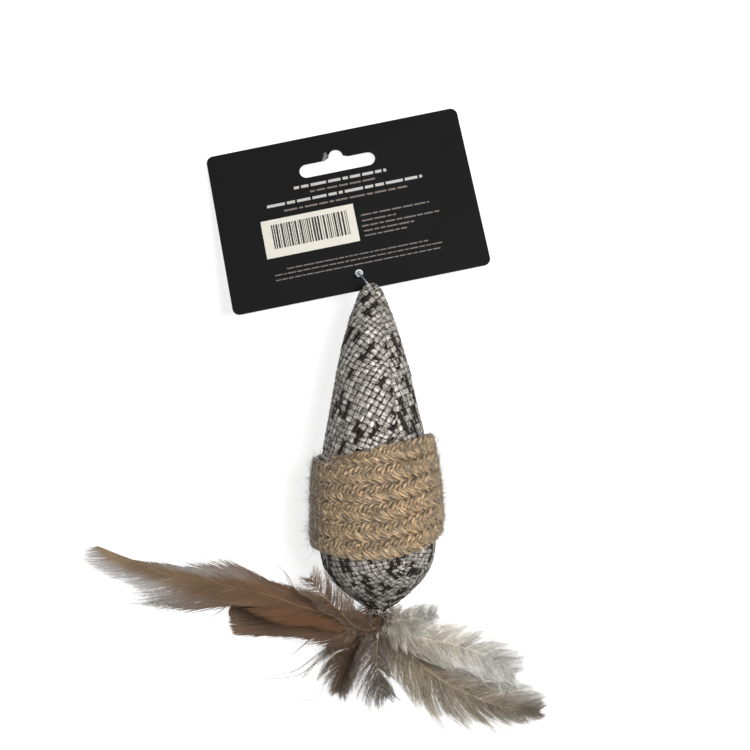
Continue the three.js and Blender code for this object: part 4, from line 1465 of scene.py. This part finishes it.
def wispPiece(name, wisp, seed):
    # Single hairs that stray from the bunch, along the routes that the photograph shows
    random = np.random.default_rng(seed)
    scale = photo["metresPerPixel"] * (1 - wisp["height"] / photo["distance"])
    steps, parts = wispHair["steps"], []
    for route in wisp["pixels"]:
        for _ in range(wispHair["copies"]):
            spread = np.linspace(*wispHair["spread"], len(route))[:, None]
            u, v = (np.array(route) + spread * random.normal(0, 1, (len(route), 2))).T
            x = (u - photo["middle"][0]) * scale
            y = photo["centreY"] + (photo["middle"][1] - v) * scale
            z = wisp["height"] + np.linspace(0, wispHair["rise"], len(route)) * mm
            line = smoothPath(np.stack([x, y, z], axis=-1), steps)
            t = np.linspace(0, 1, steps)
            strip = stripsFrom(random, line[None], wisp["width"] * (1 - wispHair["thinning"] * t[None]))
            layers = {
                "grain": np.zeros((2 * steps, 3)),
                "shade": np.full(2 * steps, random.uniform(0.2, 0.8)),
                "reach": np.full(2 * steps, 0.4),
                "outer": np.repeat(t, 2) * 0.4,
            }
            parts.append((strip, gridFaces(steps, 2), layers))
    points, faces, layers = joinMeshes(parts)
    makePiece(name, points, faces, looks[wisp["look"]], wisp["body"], (), layers)


for number, (featherName, featherValues) in enumerate(feathers.items()):
    featherPiece(featherName, featherValues, 40 + number)
for number, (wispName, wispValues) in enumerate(wisps.items()):
    wispPiece(wispName, wispValues, 60 + number)
print("feathers made")


# The hang card: black cardstock with a pale core, a round-ended slot with a hump, and generic print

card = {
    "width": 107.1 * mm,
    "height": 70.9 * mm,
    "thickness": 0.5 * mm,
    "corner": 3 * mm,
    "slope": math.radians(14.9),
    "near": -6.5 * mm,
    "holeRadius": 1.6 * mm,
    "holeInset": 7.5 * mm,
    "slotLength": 32 * mm,
    "slotHeight": 5.9 * mm,
    "slotInset": 14.9 * mm,
    "humpWidth": 10.4 * mm,
    "humpHeight": 3.9 * mm,
    "humpTop": 3 * mm,
    "edgeRound": 0.06 * mm,
    "levelFace": 0.4,
    "arcSteps": {"corner": 10, "hole": 24, "slot": 14, "hump": 16},
}
cardTurn = Matrix.Rotation(cardHeading, 4, "Z") @ Matrix.Rotation(-card["slope"], 4, "X")
cardToFrame = Matrix.Translation(Vector(cardPivot)) @ cardTurn
frameToCard = cardToFrame.inverted()


def arcPoints(centreX, centreY, radius, first, last, kind):
    angles = np.radians(np.linspace(first, last, card["arcSteps"][kind]))
    return [(centreX + radius * math.cos(a), centreY + radius * math.sin(a)) for a in angles]


def cardLoops():
    # The card's edge, its small hole and the slot, as closed loops
    w, r, near = card["width"] / 2, card["corner"], card["near"]
    far = near + card["height"]
    outer = arcPoints(w - r, near + r, r, -90, 0, "corner")
    outer += arcPoints(w - r, far - r, r, 0, 90, "corner")
    outer += arcPoints(-w + r, far - r, r, 90, 180, "corner")
    outer += arcPoints(-w + r, near + r, r, 180, 270, "corner")
    hole = arcPoints(0, near + card["holeInset"], card["holeRadius"], 0, 345, "hole")
    half, middle = card["slotHeight"] / 2, far - card["slotInset"]
    end, hump, top = card["slotLength"] / 2 - half, card["humpWidth"] / 2, card["humpTop"]
    slot = arcPoints(end, middle, half, -90, 90, "slot") + [(hump, middle + half)]
    slot += arcPoints(0, middle + half + card["humpHeight"] - top, top, 0, 180, "hump")
    slot += [(-hump, middle + half)] + arcPoints(-end, middle, half, 90, 270, "slot")
    return outer, hole, slot


def flatCurveMesh(loops, depth, bevel):
    # A flat filled shape with holes, given thickness and softened edges
    curve = bpy.data.curves.new("outline", "CURVE")
    curve.dimensions = "2D"
    curve.fill_mode = "BOTH"
    curve.extrude = depth / 2 - bevel
    curve.bevel_depth = bevel
    curve.bevel_resolution = 2
    curve.offset = -bevel
    for corners in loops:
        spline = curve.splines.new("POLY")
        spline.points.add(len(corners) - 1)
        for point, (x, y) in zip(spline.points, corners):
            point.co = (x, y, 0, 1)
        spline.use_cyclic_u = True
    holder = newObject("outline", curve)
    bpy.context.view_layer.update()
    mesh = bpy.data.meshes.new_from_object(holder.evaluated_get(bpy.context.evaluated_depsgraph_get()))
    bpy.data.objects.remove(holder)
    bpy.data.curves.remove(curve)
    return mesh


def hangCard():
    # Black faces, and a pale core that shows at the cut edges
    mesh = flatCurveMesh(cardLoops(), card["thickness"], card["edgeRound"])
    mesh.materials.clear()
    mesh.materials.append(looks["card"])
    mesh.materials.append(looks["cardCore"])
    for face in mesh.polygons:
        face.material_index = 0 if abs(face.normal.z) > card["levelFace"] else 1
    mesh.transform(cardToFrame)
    ridingPiece("card_sheet", mesh, "card", ("hang_card",))


def cardFromPixel(u, v):
    # Where the photograph's pixel falls on the card's top, in the card's own plane
    scale = photo["metresPerPixel"] / photo["distance"]
    ray = Vector(((u - photo["middle"][0]) * scale, (photo["middle"][1] - v) * scale, -1))
    eye = Vector((0, photo["centreY"], photo["distance"]))
    a = frameToCard @ eye
    b = frameToCard @ (eye + ray)
    t = (card["thickness"] / 2 - a.z) / (b.z - a.z)
    return a.x + (b.x - a.x) * t, a.y + (b.y - a.y) * t


def onCard(x, y, height):
    return tuple(cardToFrame @ Vector((x, y, card["thickness"] / 2 + height)))


ink = {
    "height": 0.02 * mm,
    "barHeight": 0.035 * mm,
    "barWidths": (0.3, 0.3, 0.55, 0.8),
    "barGaps": (0.33, 0.4, 0.6),
    "barLowShare": 0.22,
    "barHighShare": 0.14,
    "wordShares": (1.0, 4.6),
    "leastWordShare": 0.4,
    "gapShare": 0.5,
    "heavyShare": 0.36,
    "lightShare": 0.26,
}
printRows = [
    # Left and right end pixels, letter height in mm, ink and whether the marks are heavy
    ((294, 189), (386, 169), 1.7, "print", True), ((310, 192), (375, 178), 1.5, "faintPrint", False),
    ((267, 207), (422, 176), 1.7, "print", True), ((284, 211), (407, 186), 1.5, "faintPrint", False),
    ((361, 216), (429, 201), 1.2, "faintPrint", False), ((362, 221), (396, 214), 1.2, "faintPrint", False),
    ((362, 227), (439, 210), 1.2, "faintPrint", False), ((364, 232), (414, 220), 1.2, "faintPrint", False),
    ((365, 236), (407, 227), 1.1, "faintPrint", False), ((287, 269), (428, 240), 0.95, "faintPrint", False),
    ((275, 276), (442, 242), 0.95, "faintPrint", False), ((276, 281), (442, 247), 0.95, "faintPrint", False),
]
labelCorners = [(267, 258), (359, 241), (353, 205), (261, 222)]
barEnds = [(275, 249), (351, 233), (344, 211), (273, 225)]


def printPiece(name, boxes, look, height):
    # Thin printed shapes on the card's top; each box is left, low, right and high
    points = []
    for left, low, right, high in boxes:
        points += [onCard(x, y, height) for x, y in ((left, low), (right, low), (right, high), (left, high))]
    faces = np.arange(len(points)).reshape(-1, 4)
    makePiece(name, points, faces, looks[look], "card", smooth=False)


def wordMarks(random, left, right, y, height, heavy):
    # Blank dashes of word lengths, which stand for a line of small print
    marks, x = [], left
    half = height * (ink["heavyShare"] if heavy else ink["lightShare"])
    while x < right:
        wide = min(height * random.uniform(*ink["wordShares"]), right - x)
        if wide > height * ink["leastWordShare"]:
            marks.append((x, y - half, x + wide, y + half))
        x += wide + height * ink["gapShare"]
    return marks


def cardPrint():
    # Rows of blank dashes, and a pale label with plain bars that encode nothing
    random = np.random.default_rng(3)
    rows = {"print": [], "faintPrint": []}
    for first, last, height, look, heavy in printRows:
        x0, y0 = cardFromPixel(*first)
        x1, y1 = cardFromPixel(*last)
        rows[look] += wordMarks(random, x0, x1, (y0 + y1) / 2, height * mm, heavy)
    printPiece("small_print", rows["print"], "print", ink["height"])
    printPiece("fine_print", rows["faintPrint"], "faintPrint", ink["height"])
    corners = np.array([cardFromPixel(*corner) for corner in labelCorners])
    low, high = corners.min(axis=0), corners.max(axis=0)
    printPiece("printed_label", [(low[0], low[1], high[0], high[1])], "label", ink["height"])
    barX = [cardFromPixel(*corner)[0] for corner in barEnds]
    tall = high[1] - low[1]
    x, bars = min(barX), []
    while x < max(barX):
        wide = random.choice(ink["barWidths"]) * mm
        bars.append((x, low[1] + ink["barLowShare"] * tall, x + wide, high[1] - ink["barHighShare"] * tall))
        x += wide + random.choice(ink["barGaps"]) * mm
    printPiece("label_bars", bars, "bars", ink["barHeight"])


tear = {
    "outline": [(-0.9, 0.1), (0.5, -0.3), (2.1, 1.6), (1.5, 3.6), (0.5, 3.3), (0.1, 1.7)],  # in mm
    "lift": 0.05 * mm,
    "curl": 0.1 * mm,
    "peak": 0.3 * mm,
}


def tornSlot():
    # Fibres pulled up where the slot's hump was punched
    far = card["near"] + card["height"] - card["slotInset"] + card["slotHeight"] / 2
    left = -card["humpWidth"] / 2
    points = [onCard(left + x * mm, far + y * mm, tear["lift"] + tear["curl"] * (i % 2))
              for i, (x, y) in enumerate(tear["outline"])]
    middle = tuple(np.mean(points, axis=0) + np.array([0, 0, tear["peak"]]))
    faces = [(i, (i + 1) % len(points), len(points)) for i in range(len(points))]
    makePiece("slot_tear", points + [middle], faces, looks["torn"], "card", smooth=False)


hangCard()
cardPrint()
tornSlot()
print("card made")


# The nylon loop with its moulded snap lock

loop = {
    "radius": 0.25 * mm,
    "sides": 10,
    "steps": 150,
    "span": math.hypot(cardPivot[0] - nosePivot[0], cardPivot[1] - nosePivot[1]),
    "heading": math.atan2(nosePivot[0] - cardPivot[0], cardPivot[1] - nosePivot[1]),
    "noseRadius": 3.8 * mm,
    "holeDropShare": 1.3,
    "underCardShares": [(0.66, -0.6), (0.27, -0.6), (0, -0.28), (-0.04, 0.18)],
    "overNoseShares": [(0.12, 0.84), (0.42, 0.82), (0.72, 0.32), (0.97, -0.32)],
}
lock = {
    "width": 2.6 * mm,
    "depth": 2.2 * mm,
    "height": 2.0 * mm,
    "lift": 0.9 * mm,
    "edgeCut": 0.45 * mm,
    "cutSteps": 3,
    "ridgeFoot": 0.75 * mm,
    "ridgeTop": 0.55 * mm,
    "ridgeHeight": 0.5 * mm,
    "ridgeLift": 0.15 * mm,
    "ridgeSides": 16,
}
loopToFrame = Matrix.Translation(Vector(nosePivot)) @ Matrix.Rotation(loop["heading"], 4, "Z")
loopSlope = math.atan(math.tan(card["slope"]) * math.cos(loop["heading"] - cardHeading))
loopDrop = cardPivot[2] - nosePivot[2]
holeMiddle = Vector((0, loop["span"], loopDrop))
cardNormal = Vector((0, math.sin(loopSlope), math.cos(loopSlope)))
lockSeat = lock["lift"] + card["thickness"] / 2
lockMiddle = holeMiddle + cardNormal * (lockSeat + lock["height"] * 0.5)


def nylonLoop():
    # From the lock down through the card's hole, round and through the nose, and back over it into the lock
    span, radius = loop["span"], loop["noseRadius"]
    path = [lockMiddle, holeMiddle, holeMiddle - cardNormal * loop["holeDropShare"] * lock["height"]]
    path += [(0, y * span, loopDrop + z * span) for y, z in loop["underCardShares"]]
    path += [(0, 0, -radius), (0, 0, 0), (0, 0, radius)]
    path += [(0, y * span, z * span) for y, z in loop["overNoseShares"]]
    path += [holeMiddle + cardNormal * (lockSeat + lock["height"]), lockMiddle]
    line = smoothPath([tuple(point) for point in path], loop["steps"])
    points, faces, _ = tubeMesh(line, loop["radius"], loop["sides"])
    points = [tuple(loopToFrame @ Vector(point)) for point in points]
    makePiece("nylon_loop", points, faces, looks["nylon"], "loop", ("tag_fastener",))


def orderedMesh(name, shape):
    # A bevel lists its corners and faces in another order in each run, so they are put in order here
    corners = sorted(shape.verts, key=lambda corner: tuple(corner.co))
    places = {corner: number for number, corner in enumerate(corners)}
    faces = []
    for face in shape.faces:
        around = [places[corner] for corner in face.verts]
        first = around.index(min(around))
        faces.append(around[first:] + around[:first])
    mesh = bpy.data.meshes.new(name)
    mesh.from_pydata([tuple(corner.co) for corner in corners], [], sorted(faces))
    return mesh


def snapLock():
    # A block with its edges cut back in steps, and a low ridge on top
    mesh = bmesh.new()
    bmesh.ops.create_cube(mesh, size=1)
    bmesh.ops.scale(mesh, vec=(lock["width"], lock["depth"], lock["height"]), verts=mesh.verts)
    bmesh.ops.bevel(mesh, geom=list(mesh.edges), offset=lock["edgeCut"], segments=lock["cutSteps"],
                    affect="EDGES")
    ridge = bmesh.ops.create_cone(mesh, cap_ends=True, segments=lock["ridgeSides"], radius1=lock["ridgeFoot"],
                                  radius2=lock["ridgeTop"], depth=lock["ridgeHeight"])
    bmesh.ops.translate(mesh, verts=ridge["verts"], vec=(0, 0, lock["height"] / 2 + lock["ridgeLift"]))
    data = orderedMesh("snap_lock", mesh)
    mesh.free()
    place = Matrix.Translation(lockMiddle) @ Matrix.Rotation(-loopSlope, 4, "X")
    data.transform(loopToFrame @ place)
    data.materials.append(looks["nylon"])
    data.polygons.foreach_set("use_smooth", [True] * len(data.polygons))
    ridingPiece("snap_lock", data, "loop")


nylonLoop()
snapLock()
print("loop made")


# Floor, light and camera

stage = {
    "floorSize": 3.0,
    "floorShade": 0.36,
    "floorGlow": 0.83,
    "world": 0.12,
    "target": (0, 0.02, 0.02),
    "keyPower": 5.1,
    "keySize": 0.22,
    "keyPlace": (0.23, 0.12, 0.64),
    "fillPower": 0.15,
    "fillSize": 0.8,
    "fillPlace": (-0.5, -0.15, 0.55),
    "sensor": 36,
}


def backdropRays(tree):
    # 1 for what the camera, a reflection or clear nylon shows of the background, and 0 for its light
    path = addNode(tree, "ShaderNodeLightPath")
    seen = math2(tree, "MAXIMUM", path.outputs["Is Camera Ray"], path.outputs["Is Glossy Ray"])
    return math2(tree, "MAXIMUM", seen, path.outputs["Is Transmission Ray"])


def floorMaterial():
    # A grey floor that keeps the toy's shadow, with a glow that makes it look white
    look = bpy.data.materials.new("paleFloor")
    tree = emptyTree(look)
    shade = stage["floorShade"]
    diffuse = addNode(tree, "ShaderNodeBsdfDiffuse", {"Color": (shade, shade, shade, 1)})
    strength = math2(tree, "MULTIPLY", backdropRays(tree), stage["floorGlow"])
    glow = addNode(tree, "ShaderNodeEmission", {"Color": (1, 1, 1, 1), "Strength": strength})
    both = addNode(tree, "ShaderNodeAddShader", {0: diffuse.outputs[0], 1: glow.outputs[0]})
    addNode(tree, "ShaderNodeOutputMaterial", {"Surface": both.outputs[0]})
    return look


def makeFloor():
    half = stage["floorSize"] / 2
    mesh = bpy.data.meshes.new("floor")
    corners = [(-half, -half, 0), (half, -half, 0), (half, half, 0), (-half, half, 0)]
    mesh.from_pydata(corners, [], [(0, 1, 2, 3)])
    mesh.materials.append(floorMaterial())
    newObject("floor", mesh)


def makeLamp(name, power, size, place):
    data = bpy.data.lights.new(name, "AREA")
    data.energy = power
    data.size = size
    lamp = newObject(name, data)
    lamp.location = place
    lamp.rotation_euler = (Vector(stage["target"]) - Vector(place)).to_track_quat("-Z", "Y").to_euler()


def makeWorld():
    world = bpy.data.worlds.new("paleWorld")
    tree = emptyTree(world)
    strength = math2(tree, "MULTIPLY_ADD", backdropRays(tree), 1 - stage["world"], stage["world"])
    back = addNode(tree, "ShaderNodeBackground", {"Color": (1, 1, 1, 1), "Strength": strength})
    addNode(tree, "ShaderNodeOutputWorld", {"Surface": back.outputs[0]})
    bpy.context.scene.world = world


def makeCamera():
    # Straight above the toy, as far away as the photograph's view suggests
    data = bpy.data.cameras.new("camera")
    data.sensor_width = stage["sensor"]
    data.lens = stage["sensor"] * photo["distance"] / (photo["size"] * photo["metresPerPixel"])
    camera = newObject("camera", data)
    offset = (photo["size"] / 2 - photo["middle"][0]) * photo["metresPerPixel"]
    camera.location = (offset, photo["centreY"], photo["distance"])
    bpy.context.scene.camera = camera


makeFloor()
makeLamp("keyLamp", stage["keyPower"], stage["keySize"], stage["keyPlace"])
makeLamp("fillLamp", stage["fillPower"], stage["fillSize"], stage["fillPlace"])
makeWorld()
makeCamera()
bpy.context.scene.view_settings.view_transform = "Standard"
print("stage set")
